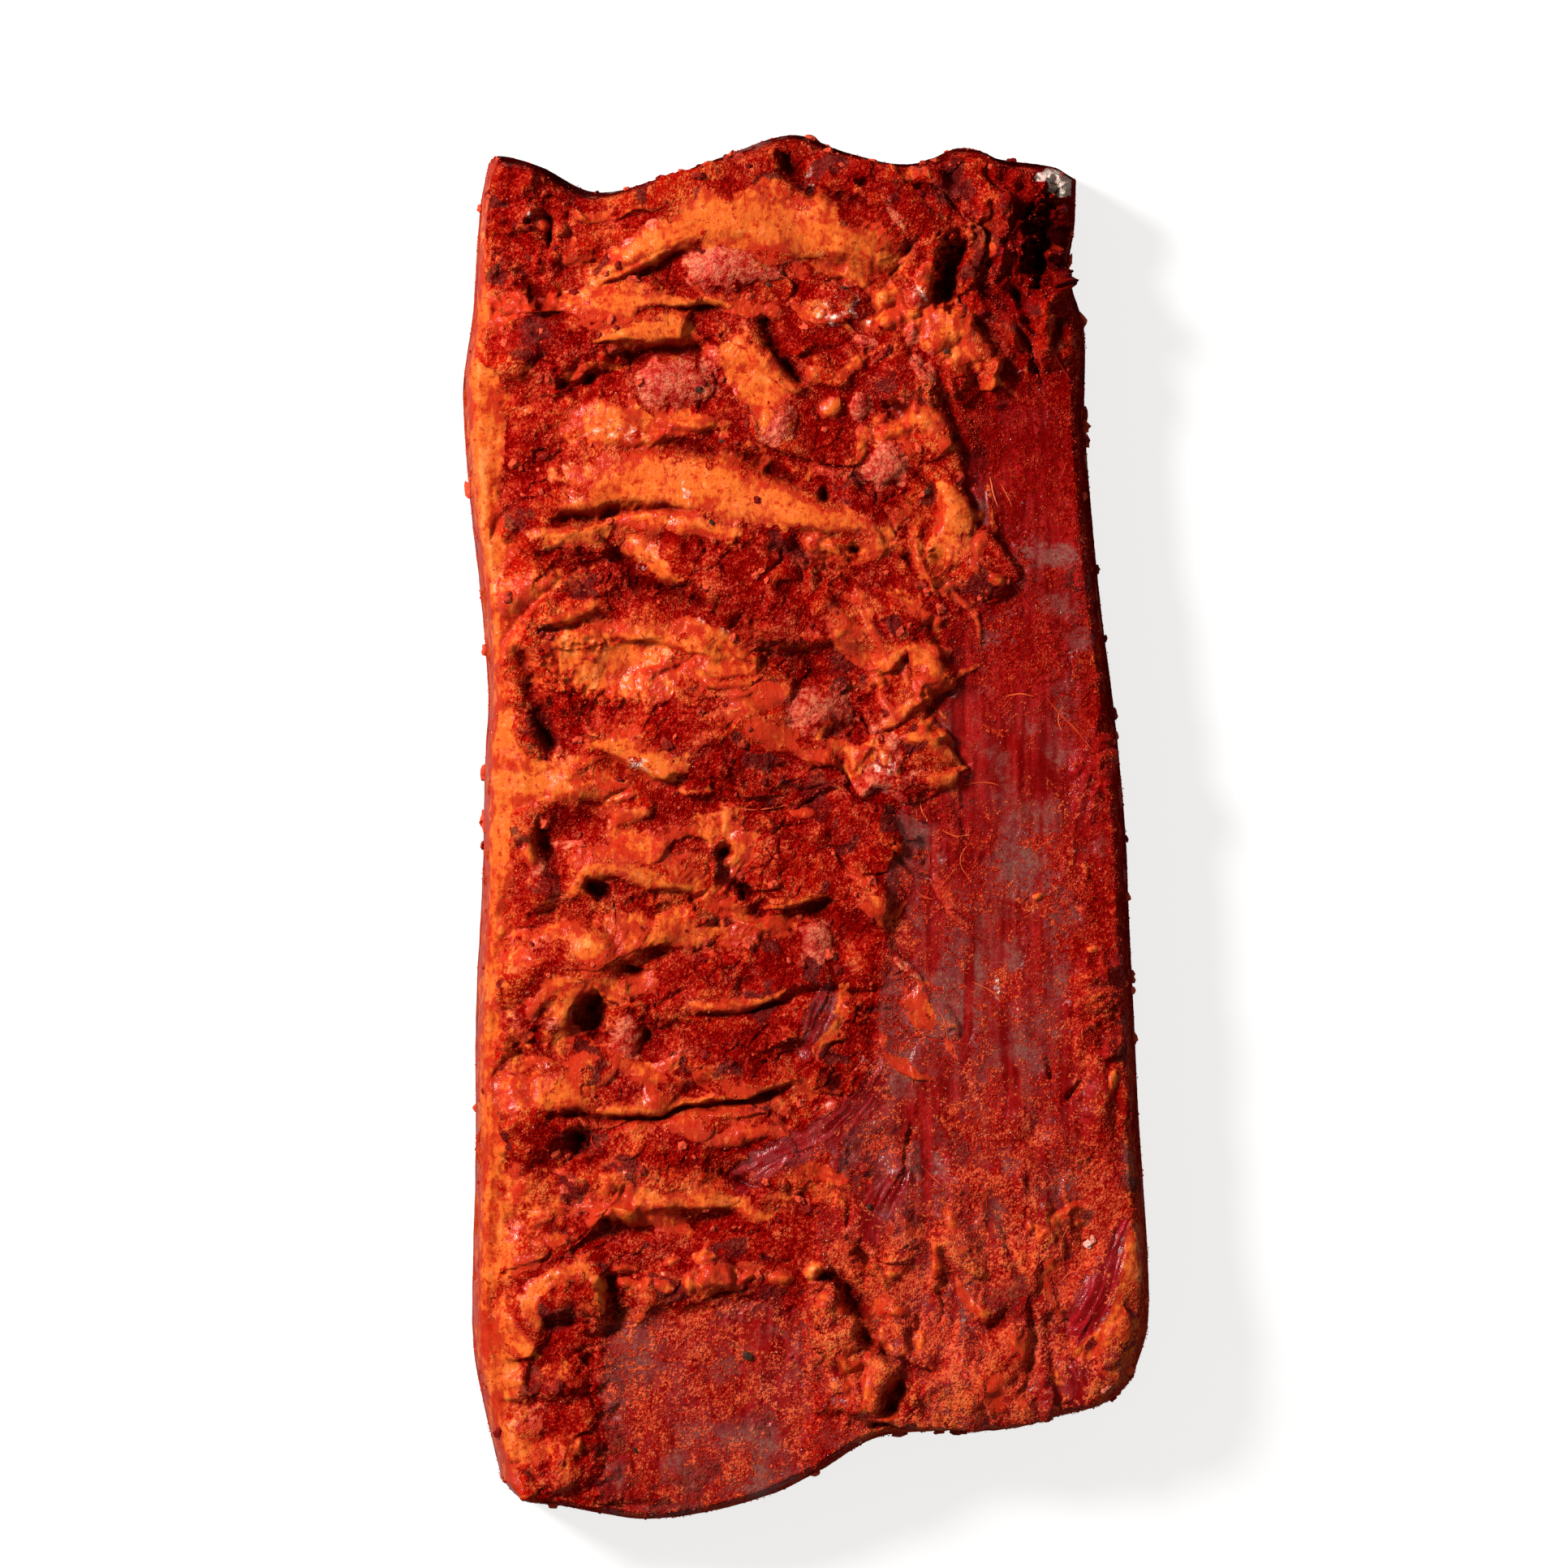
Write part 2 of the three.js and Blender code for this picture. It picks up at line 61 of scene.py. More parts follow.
CORNERS = {
    "front_left": (-97.5, -207.5),
    "front_right": (104.5, -175.0),
    "back_right": (86.3, 206.5),
    "back_left": (-101.5, 211.8),
}
EDGES = {
    "left": [
        CORNERS["front_left"], (-103.5, -182), (-106.4, -165), (-106.5, -142), (-105.6, -105),
        (-105.5, -60), (-103.4, -15), (-102.6, 20), (-101.6, 44), (-104.2, 76), (-107.4, 104),
        (-109.6, 138), (-106.6, 163), (-104.3, 196), CORNERS["back_left"],
    ],
    "right": [
        CORNERS["front_right"], (109.2, -158), (108.8, -132), (106.2, -92), (104.6, -58),
        (103.2, -30), (101.9, 0), (98.6, 35), (94.4, 68), (91.2, 100), (89, 130), (88.8, 158),
        (83.9, 176), (85.8, 192), CORNERS["back_right"],
    ],
    "front": [
        CORNERS["front_left"], (-90, -214.6), (-78, -216.6), (-64, -219.2), (-50, -220.7),
        (-30, -218.3), (-10, -212.6), (5, -205), (22, -195), (40, -192.6), (60, -192.3),
        (80, -188), (96, -183.2), CORNERS["front_right"],
    ],
    "back": [
        CORNERS["back_left"], (-97, 214.3), (-84, 210.6), (-67, 202.8), (-45, 206.6),
        (-25, 214.2), (-4, 220.9), (14, 214.6), (33, 211.6), (49, 216.6), (62, 213),
        (78, 210.6), CORNERS["back_right"],
    ],
}

# A fold: (height, lean to the right of its path, [(x, y, half width), ...]).
FAT_FOLDS = [
    (6, 1.2, [(-68, 172, 2.5), (-57, 179, 4.2), (-46, 186, 6), (-32, 191.5, 7.4), (-20, 193, 8),
        (-8, 191.5, 8), (4, 188.5, 7.6), (16, 184.5, 6.4), (29, 179.5, 4)]),
    (2.4, 0.8, [(-66, 172, 1), (-57, 175.6, 1.3), (-47, 180.6, 1.4), (-37, 184, 1.1)]),
    (3, 1, [(-73, 166, 2), (-66, 166.5, 3.8), (-58, 166.5, 3.8), (-52, 166.8, 2.2), (-44, 167, 1.5),
        (-34, 166, 1.2), (-24, 165.7, 0.9)]),
    (1.6, 0.5, [(-58, 162.5, 0.8), (-50, 162, 1), (-44, 162.5, 0.8)]),
    (5, 1.5, [(-67, 153, 1), (-60, 155, 1.6), (-55, 157, 3), (-48, 157, 4.6), (-41, 157, 4.8),
        (-37.5, 156.5, 4.5)]),
    (1.5, 0.5, [(-77, 142, 0.8), (-71, 144.8, 1.6), (-64, 146, 1.4), (-58, 145, 1)]),
    (1.8, 0.6, [(-57, 139, 0.8), (-54, 134, 1.4), (-49, 130.5, 1.6), (-42, 128.8, 1.6), (-34, 127.3, 1.6),
        (-27, 126.5, 1)]),
    (4, 1.2, [(-24, 155, 1.2), (-17, 150.5, 2), (-12, 145, 2.1), (-7, 140, 2), (-1, 136.5, 1.2)]),
    (2.2, 0, [(-26, 150, 2), (-23, 144, 3.5), (-18, 139, 4.5), (-13, 133, 4), (-12, 127, 2)]),
    (6.5, 1, [(-77, 101.5, 2), (-70, 104.5, 4), (-62, 108, 6), (-52, 110, 9), (-42, 110.5, 9.6),
        (-32, 109.5, 9.2), (-22, 106.5, 8), (-12, 102.5, 6.6), (-3, 99.5, 5), (8, 98, 3.6),
        (17, 95.5, 1.8)]),
    (3, 0.5, [(-62, 97.5, 1.5), (-52, 97, 3), (-42, 96.5, 3.6), (-30, 95, 3), (-20, 92.5, 1.5)]),
    (1.5, 0, [(-86, 92.5, 1.4), (-79, 91, 2.6), (-71, 92.5, 3.2), (-64, 94, 2.6)]),
    (1.5, 0, [(-56, 91.5, 1.4), (-51, 87, 3.2), (-46, 82.5, 3), (-41, 79, 1.4)]),
    (2.2, 0.8, [(-83, 65.5, 1.4), (-77, 67.3, 2.2), (-70, 69.3, 1.8), (-66, 70.5, 1)]),
    (3.6, 1.6, [(-60, 62.5, 1.6), (-52, 62, 2.6), (-44, 60.8, 3), (-36, 58.5, 3), (-29, 56.5, 2)]),
    (3.6, 1.2, [(-37, 66.2, 1), (-31, 63.5, 1.8), (-25, 59.8, 2), (-19, 55.6, 2), (-14, 52.4, 1.4)]),
    (3, 1.2, [(-32, 52, 1.2), (-26, 50.5, 1.8), (-20, 51, 1.8), (-15, 50.6, 1.6)]),
    (2.6, 1, [(-31.5, 45.2, 1), (-26, 46.2, 1.6), (-19, 46.8, 1.6), (-14.5, 48.4, 1.2)]),
    (5, 1.6, [(-67, 26.5, 2), (-60, 26, 4.2), (-52, 22.6, 4.8), (-45, 18.6, 4), (-41, 15.5, 2)]),
    (2.6, 0.8, [(-39.5, 10.8, 0.8), (-34, 12.2, 1.6), (-29, 13, 1.4)]),
    (1, 0, [(-98, 14, 4), (-90, 15, 5), (-82, 14, 4), (-76, 13, 2)]),
    (4, 0.8, [(-77, -22.5, 1.2), (-73, -18, 2.2), (-69, -13.6, 2.8), (-64.5, -11.6, 3), (-58, -12.6, 3),
        (-50, -15.4, 2.8), (-43, -17, 2.4), (-35, -19, 1.4)]),
    (2, 0.3, [(-50, -32.5, 2.2), (-44, -35, 3), (-36, -35.4, 2.8), (-27, -35.4, 2.6), (-18, -36, 1.4)]),
    (2, 0.8, [(-14, -25.2, 0.8), (-7, -24.4, 1.1), (0, -22.5, 1.1), (6, -20.8, 0.8)]),
    (4.5, 1.2, [(-76, -67, 1.2), (-77, -60.5, 2), (-75.5, -54.5, 2.1), (-72, -51, 2.1), (-66, -50.6, 2),
        (-60, -53, 2), (-55, -56.6, 1.4)]),
    (2.2, 0.5, [(-68, -47.4, 1.2), (-62, -48.2, 1.8), (-56, -50.6, 1)]),
    (2.4, 1, [(-38, -54, 1), (-30, -56, 1.8), (-22, -55.8, 2), (-14, -54.2, 1.6), (-7, -51.5, 1)]),
    (3.2, 1.2, [(-66, -88.4, 1), (-58, -89.2, 2), (-50, -89, 2.2), (-42, -87.8, 2), (-33, -86.6, 2),
        (-24, -85, 1.7), (-15, -82.6, 1.4), (-6, -80.6, 0.8)]),
    (2, 0.4, [(-86, -78, 1.5), (-84, -83, 4), (-82, -87.5, 2)]),
    (2, 0.4, [(-79, -86, 1.4), (-74, -84.5, 3), (-70, -83, 1.6)]),
    (2, 0.6, [(-52, -115.5, 1.6), (-46, -117, 2.6), (-38, -117.6, 2), (-30, -116.8, 2.2), (-22, -118, 2),
        (-17, -120.5, 2.2), (-11, -123, 1.6)]),
    (2.4, 0.5, [(-83, -160, 1.6), (-87, -154, 2.4), (-86, -146.5, 2.8), (-80, -140.5, 3),
        (-73, -138.5, 3), (-66.5, -141, 3), (-64.4, -147, 2.4), (-66.5, -152.5, 1.6)]),
    (2.2, 0.4, [(-95, -150.5, 2), (-93.6, -156, 2.8), (-91, -162, 3.2), (-86, -166.5, 2.4)]),
    (1.4, 0.3, [(-72, -150.5, 1), (-68, -151, 1.6), (-64.5, -149.5, 1)]),
    (3, 0.5, [(-50.3, -142, 1), (-50.8, -149, 1.3), (-52.5, -154, 1.4), (-54, -157.4, 1)]),
    (1.2, 0, [(13, -53.5, 1.1), (11.5, -59, 1.4), (8.5, -64.5, 1.6), (4, -69.5, 1.4), (2, -71, 0.8)]),
    (2, 0.5, [(103.5, -124, 1.8), (102.6, -133, 1.8), (100.8, -142, 1.7), (98, -151, 1.6),
        (94.5, -158, 1.8), (89, -163, 2), (83.5, -168, 1.8)]),
    (1.6, 0.3, [(30.5, 204.6, 0.8), (34, 205.6, 1.2), (38.5, 207, 0.9)]),
    (1.6, 0.3, [(22, 180.6, 0.9), (27, 182, 1.2), (32, 184.6, 0.8)]),
    (1.8, 0.5, [(12, 176.5, 1), (16, 173.5, 1.5), (20, 170.3, 1.2)]),
    (1.6, 0.5, [(0, 179.5, 1.2), (8, 177, 1.5), (13, 174, 1.5), (15, 171.5, 1)]),
    (1.8, 0.5, [(30, 175.4, 0.8), (35, 172.2, 1.3), (40, 169.2, 0.9)]),
    (2, 0.5, [(49, 163, 1.2), (48.8, 157, 1.6), (51, 151, 2), (54, 147, 1.4)]),
    (2, 0.4, [(9, 141, 1), (12.5, 144.5, 2), (17, 149, 1.8), (19, 150, 1)]),
    (5, 1.6, [(42, 108.5, 1.5), (45.5, 104, 3.6), (46.5, 97, 5.4), (45, 90, 5.6), (42, 85, 3)]),
    (2, 0.5, [(46.5, 82.5, 0.8), (48.5, 85.5, 1.2), (52.5, 87.6, 1.1)]),
    (2, 0.5, [(57.5, 108, 0.6), (58.6, 101, 0.8), (59, 95, 1), (60.5, 91, 0.8)]),
    (1.8, 0.5, [(17, 98.5, 0.9), (20.5, 94.6, 1.2), (22.5, 89.5, 1.2), (25, 87, 1)]),
    (1.6, 0.4, [(27, 91, 1.2), (29.5, 88, 1.4), (31, 85.5, 1)]),
    (1.6, 0.3, [(0, 101.5, 1.6), (6, 98, 2), (12, 95.5, 1.6), (16, 94, 0.8)]),
    (3.5, 0.8, [(23, 49.5, 1), (26, 52.5, 2), (30, 56.5, 2), (33.5, 57.5, 1.6), (37, 53, 2.4),
        (41, 47.5, 2.4), (43.5, 44.5, 1.4)]),
    (1.6, 0.3, [(43, 46, 0.8), (48.5, 48.6, 1), (55, 51.6, 0.7)]),
    (3.4, 1, [(24.5, 33, 1.2), (29, 36.6, 2.4), (33.5, 40.4, 2.4), (37.5, 42, 1.4)]),
    (3.2, 0.8, [(34.5, 30.5, 1), (39, 27.5, 1.4), (43.5, 23.3, 1.6), (49, 20.4, 1.6), (49, 18, 1.5),
        (44, 16, 1.7), (38.5, 17.6, 1.2)]),
    (1, 0.2, [(14, 45.5, 0.6), (18, 44.6, 1), (21.5, 42.5, 0.8)]),
    (1.6, 0.3, [(3, 29, 1), (5.5, 32.6, 1.1), (10, 33.6, 0.9)]),
    (1.8, 0.4, [(15, 22, 1), (18, 25.5, 1.2), (24, 28, 1.2), (28, 27, 1)]),
    (1.4, 0.4, [(19, -21.5, 1), (21.5, -24, 1.2), (22.5, -28, 1), (23.5, -31, 0.7)]),
    (2.6, 0.8, [(41.6, -131, 1.2), (42.6, -137, 1.7), (41.8, -143, 1.2)]),
]
MEAT_FOLDS = [
    (4, 1, [(-84, 65, 2.4), (-76, 69, 3), (-66, 71.5, 3.5), (-56, 70, 3.5), (-46, 68, 3)]),
    (3.5, 0.5, [(-90, 0, 3.5), (-87, -8, 4), (-85, -18, 4.4), (-81, -25, 3.5)]),
    (3, 0.8, [(-52, -21, 2), (-44, -25, 2.6), (-36, -28, 2.4), (-28, -30, 1.6)]),
    (4, 0, [(2, 210, 4), (12, 205, 5.5), (24, 201, 6), (36, 199, 6), (46, 199, 5)]),
    (4, -1.2, [(53, 201, 3.6), (54, 194, 3), (53.5, 187, 2.2), (52.8, 180, 1.4), (52.5, 174, 0.9)]),
    (3, 0, [(64, 203, 4), (65, 190, 5), (64, 178, 4)]),
    (2.5, 0, [(24, 155, 4), (34, 149, 5), (44, 143, 4)]),
    (3, 0.8, [(41.5, -127, 2), (43, -137, 2.6), (41, -148, 2)]),
    (2.5, 0.5, [(76, -117, 2), (76.5, -125, 2.4), (73.5, -135, 2.4), (71.5, -145, 2)]),
    (2.5, 0.6, [(20, -152, 1.5), (24, -160, 2), (29, -168, 2)]),
    (2.2, 0.5, [(3, -148, 2), (6, -158, 3), (10, -170, 3), (12, -182, 2)]),
    (2, 0.5, [(-96, -97, 2), (-93, -95.5, 2), (-90, -95, 1)]),
    (2.5, 0.6, [(-88, 171, 1.4), (-85.5, 166, 1.8), (-83.5, 161, 1.4)]),
    (2, 0.6, [(-99, 147, 3), (-94, 145, 3), (-88, 144, 2)]),
]
# Bare muscle whose fibres run along the path.
MUSCLE_BANDS = [
    (1.6, 0, [(101, -126, 3), (97, -136, 5), (92.5, -148, 6), (86.5, -158.5, 4.5)]),
    (1, 0, [(84, -169, 2), (86.5, -175, 4), (85.5, -183, 3)]),
    (0.8, 0, [(6, -54, 4), (3, -62, 5), (0, -70, 3)]),
    (0.8, 0, [(24, -76, 3), (18, -86, 5), (8, -96, 6), (-6, -103, 6), (-20, -110, 5)]),
    (0.6, 0, [(28, -112, 5), (24, -120, 6), (22, -127, 4)]),
]
# Clefts, seams and the shaded undersides of folds, with painted shade at their bottoms: (depth, [(x, y,
# half width), ...]).
FURROWS = [
    (6, [(-5, 217, 2), (-6, 211, 2.2), (-3, 206.5, 2.4), (1, 203, 2.2), (7, 200.5, 2.2), (15, 197.5, 2),
        (23, 193, 1.8)]),
    (2.6, [(-57, 173.5, 1.2), (-48, 177.5, 2.4), (-40, 181.5, 2.4), (-31, 186, 2), (-22, 187.8, 1.6),
        (-12, 186.5, 1)]),
    (2, [(-62, 175, 0.6), (-55, 178.6, 0.9), (-47, 183, 0.8)]),
    (2.5, [(-60, 162, 0.8), (-50, 164.2, 1.1), (-40, 164, 1.1), (-30, 164.6, 1), (-24, 164, 0.8)]),
    (4.5, [(-60, 149, 1.2), (-50, 150.2, 1.6), (-40, 150.8, 1.6), (-31, 150, 1.2)]),
    (6, [(-91, 178, 1.6), (-87, 172, 2.2), (-83, 166, 2.8), (-79, 161, 2.6), (-78, 156, 1.6)]),
    (5, [(-79, 140.5, 1), (-74, 141.5, 1.8), (-66, 141, 1.4)]),
    (7, [(-14, 163, 1.6), (-11.5, 156, 2.3), (-8.5, 150, 2.3), (-4.5, 144, 2), (-1, 140, 1)]),
    (4.5, [(-62, 121, 1), (-50, 121, 1.6), (-40, 120.5, 1.6), (-30, 119, 1.6), (-20, 116.5, 1.6),
        (-12, 113, 1.6), (-4, 109.5, 1.4), (3, 107, 0.8)]),
    (6, [(-80, 95.5, 1), (-76, 97, 1.8), (-70, 99.6, 2.2), (-62, 101.2, 2), (-54, 101.8, 1.8),
        (-44, 101, 1.3), (-34, 100.3, 0.8)]),
    (6, [(-60, 91, 1.6), (-58, 86, 2.5), (-53, 81, 2.5), (-46, 78, 1.8), (-40, 77, 1)]),
    (4.5, [(-62, 77, 2), (-50, 74.5, 3.4), (-38, 72, 3.6), (-27, 69, 3.6), (-17, 64, 3.6), (-8, 59, 3.4),
        (2, 57, 2)]),
    (2.5, [(-85, 61.5, 0.8), (-79, 63, 1), (-70, 65, 0.8)]),
    (7, [(-91, 59, 1.4), (-89, 50, 2.1), (-87, 43, 2.6), (-84.5, 36, 2.6), (-82, 30, 2), (-80, 24, 1.2)]),
    (3, [(-32, 43.5, 0.9), (-24, 44.2, 1.1), (-16, 45.6, 1)]),
    (3, [(-28, 53.2, 0.7), (-22, 53.4, 0.9), (-16, 52.6, 0.6)]),
    (2, [(-27.5, 57.2, 0.6), (-24.5, 55.2, 1), (-23, 54, 0.6)]),
    (2.5, [(-36.5, 9, 0.8), (-25, 7.5, 1), (-18, 4.5, 1), (-10, 5, 0.9), (-2, 6.5, 0.9), (5, 9.5, 0.9),
        (12, 13, 0.7)]),
    (5, [(-84, 3, 1.2), (-82, -5, 2), (-80, -12, 2), (-77.5, -18, 1.2)]),
    (4, [(-70, -26, 1), (-62, -33.5, 2), (-57, -41, 2), (-51, -46, 1.2)]),
    (3, [(-40, -20.5, 0.8), (-30, -26.3, 1.3), (-20, -27.3, 1.3), (-10, -27.3, 1.4)]),
    (6, [(-9, -29, 1), (-3, -29, 2), (1, -27.5, 2.8), (5, -24.5, 2), (9, -22, 1)]),
    (3.5, [(-42, -58.5, 0.9), (-33, -59.6, 1.3), (-26, -59.6, 1.2), (-18, -57.5, 1.2), (-10, -56, 1.1),
        (-2, -53, 1.1), (8, -51.3, 1.2), (18, -52.8, 1.1), (26, -51, 0.8)]),
    (5, [(-87, -91, 0.9), (-79, -91.6, 1.5), (-70, -91, 1.4), (-60, -92.4, 1.6), (-50, -92.9, 1.5),
        (-40, -91.5, 1.5), (-30, -88.7, 1.5), (-20, -87.5, 1.2), (-12, -84.5, 1.2), (-4, -82, 0.8)]),
    (4, [(-92.5, -64, 1), (-90.5, -73, 1.8), (-88.5, -82, 1.8), (-87.5, -89, 1.2)]),
    (2.4, [(-72, -126, 2), (-60, -128, 2.8), (-50, -127, 2.8), (-38, -124.5, 2.6), (-25, -122.5, 2)]),
    (3, [(-51, -59.5, 0.8), (-50.6, -64, 1.1), (-50.5, -68, 0.8)]),
    (7, [(-61.5, -140.5, 1), (-61, -146, 2.1), (-60, -152, 2.1), (-58.5, -157.5, 1.4)]),
    (2.5, [(-70, -161, 1), (-64, -160.3, 1.7), (-58, -158.5, 1.2)]),
    (3, [(-70, -162, 1.4), (-68.5, -171, 2.1), (-69, -179, 2.1), (-64, -185, 1.8), (-60, -188, 1.2)]),
    (2.5, [(-87, -169, 0.8), (-87.2, -174, 1), (-87, -178, 0.8)]),
    (2, [(-98, -182, 0.8), (-90, -182.6, 1.1), (-83, -181.5, 0.9)]),
    (2, [(-83, -196, 0.8), (-82.5, -205, 0.9)]),
    (2.5, [(-68, -213.5, 1.2), (-56, -215, 1.5), (-42, -214, 1.2)]),
    (2.5, [(-22, -138.5, 0.8), (-22.6, -144, 1), (-26, -148, 0.9), (-31, -149.6, 0.7)]),
    (9, [(3, -140.8, 1), (6, -142.6, 1.4), (10, -143.4, 1.8), (14.5, -148, 2.2), (18.5, -154, 2.6),
        (22, -160.5, 2.6), (25, -166, 2.2), (27, -171, 1.4)]),
    (8, [(31, -175.5, 1.4), (27.5, -179, 2.4), (27.3, -184.5, 2.4)]),
    (5, [(20.5, -189, 1), (25, -188, 1.6), (29, -189.5, 2)]),
    (5, [(40, 167, 1.6), (45, 168.4, 2.2), (49, 168, 1.4)]),
    (5, [(57, 198, 1), (57.3, 192, 1.4), (56.2, 185, 1.2), (54.6, 178, 0.7)]),
    (5, [(52, 161, 1.1), (56, 157.5, 1.6), (60.5, 153, 1.8), (62, 147, 1.7), (61, 142, 1)]),
    (3, [(40, 138, 1), (44, 134.8, 1.5), (45.7, 129, 1.5), (47.5, 121, 1.3), (51, 115, 1)]),
    (3, [(51, 110, 0.8), (52.5, 104, 1.1), (54, 98, 1.1), (56, 94, 0.8)]),
    (3, [(59.5, 92, 0.7), (63.5, 88.5, 1.2), (64.5, 84, 1.1), (69, 80.5, 0.8)]),
    (3, [(37, 33, 0.8), (42, 39, 1.2), (46, 44, 0.9)]),
    (3, [(44, 27, 0.8), (48, 23.6, 1.1), (51.5, 19, 1)]),
    (3.5, [(30.5, 84, 0.8), (32, 86, 1.1), (33, 82, 0.8)]),
    (3.5, [(44.5, -131.5, 1), (45, -139, 1.5), (43.7, -147, 1)]),
    (2.5, [(62, -125, 0.8), (64, -133, 1.1), (65.5, -141, 1.1), (67.5, -148.5, 0.8)]),
    (3.5, [(71, -149, 1), (72.5, -157, 1.4), (71.5, -166, 1.4), (70, -175, 1)]),
    (3, [(65, -151, 0.9), (61, -156, 1.3), (57.5, -159, 0.9)]),
    (3.5, [(3, -163, 0.9), (7, -168, 1.3), (13, -173, 1.3), (15.5, -180, 1)]),
    (2.5, [(33.5, -157, 0.8), (34.5, -163, 1), (36, -153, 0.8)]),
    (2.5, [(77, -72, 0.8), (78.3, -76, 0.9), (77, -80, 0.7)]),
    (3, [(82, -86, 0.8), (85, -84, 1), (88, -80, 0.8)]),
    (2.6, [(27, 174, 0.6), (30, 178.5, 0.8), (33, 182.5, 0.8), (37, 186, 0.5)]),
    (2.6, [(21, 169, 0.7), (22, 163, 0.8), (22, 158, 0.7)]),
    (2.4, [(-96, -92, 0.8), (-93, -93, 1.1), (-90, -92, 0.8)]),
    (2.5, [(-94, 92, 1), (-90, 87, 1.5), (-86, 83, 1.2)]),
    (2.2, [(-34.5, 91, 0.5), (-33, 87.5, 0.7), (-35.5, 84, 0.5)]),
    (2.4, [(-8.5, 89, 0.5), (-8.5, 84, 0.7), (-13, 80.5, 0.5)]),
]

# A swelling: (height, x, y, half length, half width, turn in degrees).
# Swellings under a thin skin whose pink is partly painted sheen.
PINK_SHEEN_SWELLINGS = [
    (4.5, -26, 178, 15, 9.5, 8), (4.5, -41, 141, 14, 8.5, 0), (2.5, 25, 115, 7, 8, 0),
    (4.5, 5, 37, 10, 8, 0), (2.5, -57, -66, 5, 7, 0), (3, 35, 167, 4.6, 4, 0), (2.5, 17, 133, 3.6, 5, 0),
    (2, -8, 128, 7, 6, 0), (1.5, 3, -36, 6, 7, 30),
]
FAT_SWELLINGS = [
    (1.8, -63.5, 127.5, 13, 8, 0), (4, 43.5, 158, 7.5, 8, 0), (3, 58, 141.5, 4.2, 2.8, 35),
    (2.5, 24.5, 167, 4, 3.5, 0), (2, 33, 161, 3, 2, 0), (2, 25, 159, 3, 3, 0), (2, 27, 124.5, 6, 3, 0),
    (2, 37, 127.5, 3.6, 3.6, 0), (2, 8, 133, 4.4, 3.4, 0), (1.5, 36, 88, 2.4, 3.2, 0),
    (2, -7, 95.5, 2.8, 3.4, 20), (3.5, -56, -123, 5.5, 3.2, -20), (2, 27, 24.5, 3.6, 3, 0),
    (2, -8, -142, 4.6, 2.6, 0), (2.4, 2, -140, 4, 3.4, 20), (1.6, -37, -144, 2.4, 3.4, 10),
    (1.5, -71.5, -195, 1.5, 2.6, 0), (1.5, 73, -21.4, 2.2, 1.5, 0), (1.5, 97, -79.5, 1.8, 4.4, -15),
    (1.2, 90.5, -38, 2.6, 1.6, 0), (1.4, -71, -34, 4, 4, 30), (1.5, 2.5, 143, 3, 4, 0),
    (1.2, -22, -6, 4.5, 4.5, 0), (1.6, 27, -141, 2.6, 1.6, 0), (1.4, -96, -101.5, 3, 2.4, 0),
    (1.4, 12, -169, 2, 4, 25), (1.4, 56.5, -153, 2, 4, 20), (1.2, 36, -161, 2, 3.4, 0),
    (1.4, 5, 163, 2.2, 2.6, 0), (1.6, -83, 190, 2, 3, 10), (1.4, 20, -175, 1.6, 4, 20),
    (1.4, 43, -190, 3, 2, -40), (1, -87, -9, 2.6, 5, 15),
]
MEAT_SWELLINGS = [
    (4, 10, 163, 10.5, 9.5, -30), (4.5, -16, 84, 30, 21, -8), (4.5, -87, 28, 4.6, 8.5, 20),
    (4, 57, 81, 10.5, 11, 0), (4, -73, -147, 13, 10, 0), (2.5, -76, -150, 9, 6, 0),
    (4, -30, -141, 8, 7, 0), (2.5, -78, -176, 9, 6.5, 0), (3, -77, -199, 7, 12, 0),
    (4, 9, -160, 9, 13, 20), (4, 25, -173.5, 5.5, 5.5, 0), (2.5, 29, -136, 6, 6, 0),
    (4, 75.5, 174, 4.4, 4.6, 0), (3, 74, 152, 11, 8, -30), (3, 90, 126, 3.4, 6.5, 0),
    (3, 94, 22, 4.4, 8, 0), (4, -88, 191, 6, 8, 20), (3, -97, 205, 5, 8, 0), (3, 91, -52, 8, 12, 0),
    (3, 93, -88, 5, 16, 0), (3, 52, -178, 9, 13, 0), (2.5, -84, -19, 6, 7, -20), (2, -83, -43, 6, 5, 0),
    (2, -91, 98, 5, 4, 0), (2, -93, 70, 4.4, 5.4, 0), (1.8, 60, -174, 5, 7, 0), (2, 80, -100, 8, 10, 0),
    (1.8, 66, -92, 7, 8, 0),
]
# Pits, with painted shade at their bottoms, and broad hollows: (depth, x, y, half length, half width,
# turn in degrees).
PITS = [
    (11, 46, 176, 6.5, 14, -8), (12, 76, 187, 7.5, 17, -8), (2, 75, 186, 16, 24, -8),
    (4.5, -66, -19.5, 8, 2.8, -8), (7, -68, -58, 6.2, 8.5, 0), (4, -71, -98, 5, 5, 0),
    (3, 5.5, 106, 2, 2.6, 0), (3, 15, 88, 3, 2, 0), (3, 18, 203.5, 3, 1.6, 0),
    (4, -88, 190.6, 1.5, 2.2, -30), (4, -81.4, 186, 1.2, 4, 0), (5, -27, -8.5, 3.4, 3, 0),
    (5, -18, -20, 4, 4, 0), (2.5, 10, -80, 6, 5, 0), (2.5, 18, -136, 3.6, 8, 0), (3, 28, 133, 5, 3.6, 0),
    (3.5, -64, -125, 4, 3, 0), (3, 2, 201, 2, 2, 0),
]
HOLLOWS = [
    (5.5, -63, 51, 23, 10.5, 0), (3, -60, 35, 24, 6.5, 0), (3, -46, -29, 16, 8.5, -10),
    (4, -22, -14, 8, 10, 0), (2.5, 54, 168, 6, 6, 0), (1.5, 39, -9, 5.5, 6, 0), (2, -73, 83, 13, 7, 0),
    (2.5, 70, 168, 12, 7, 0),
]

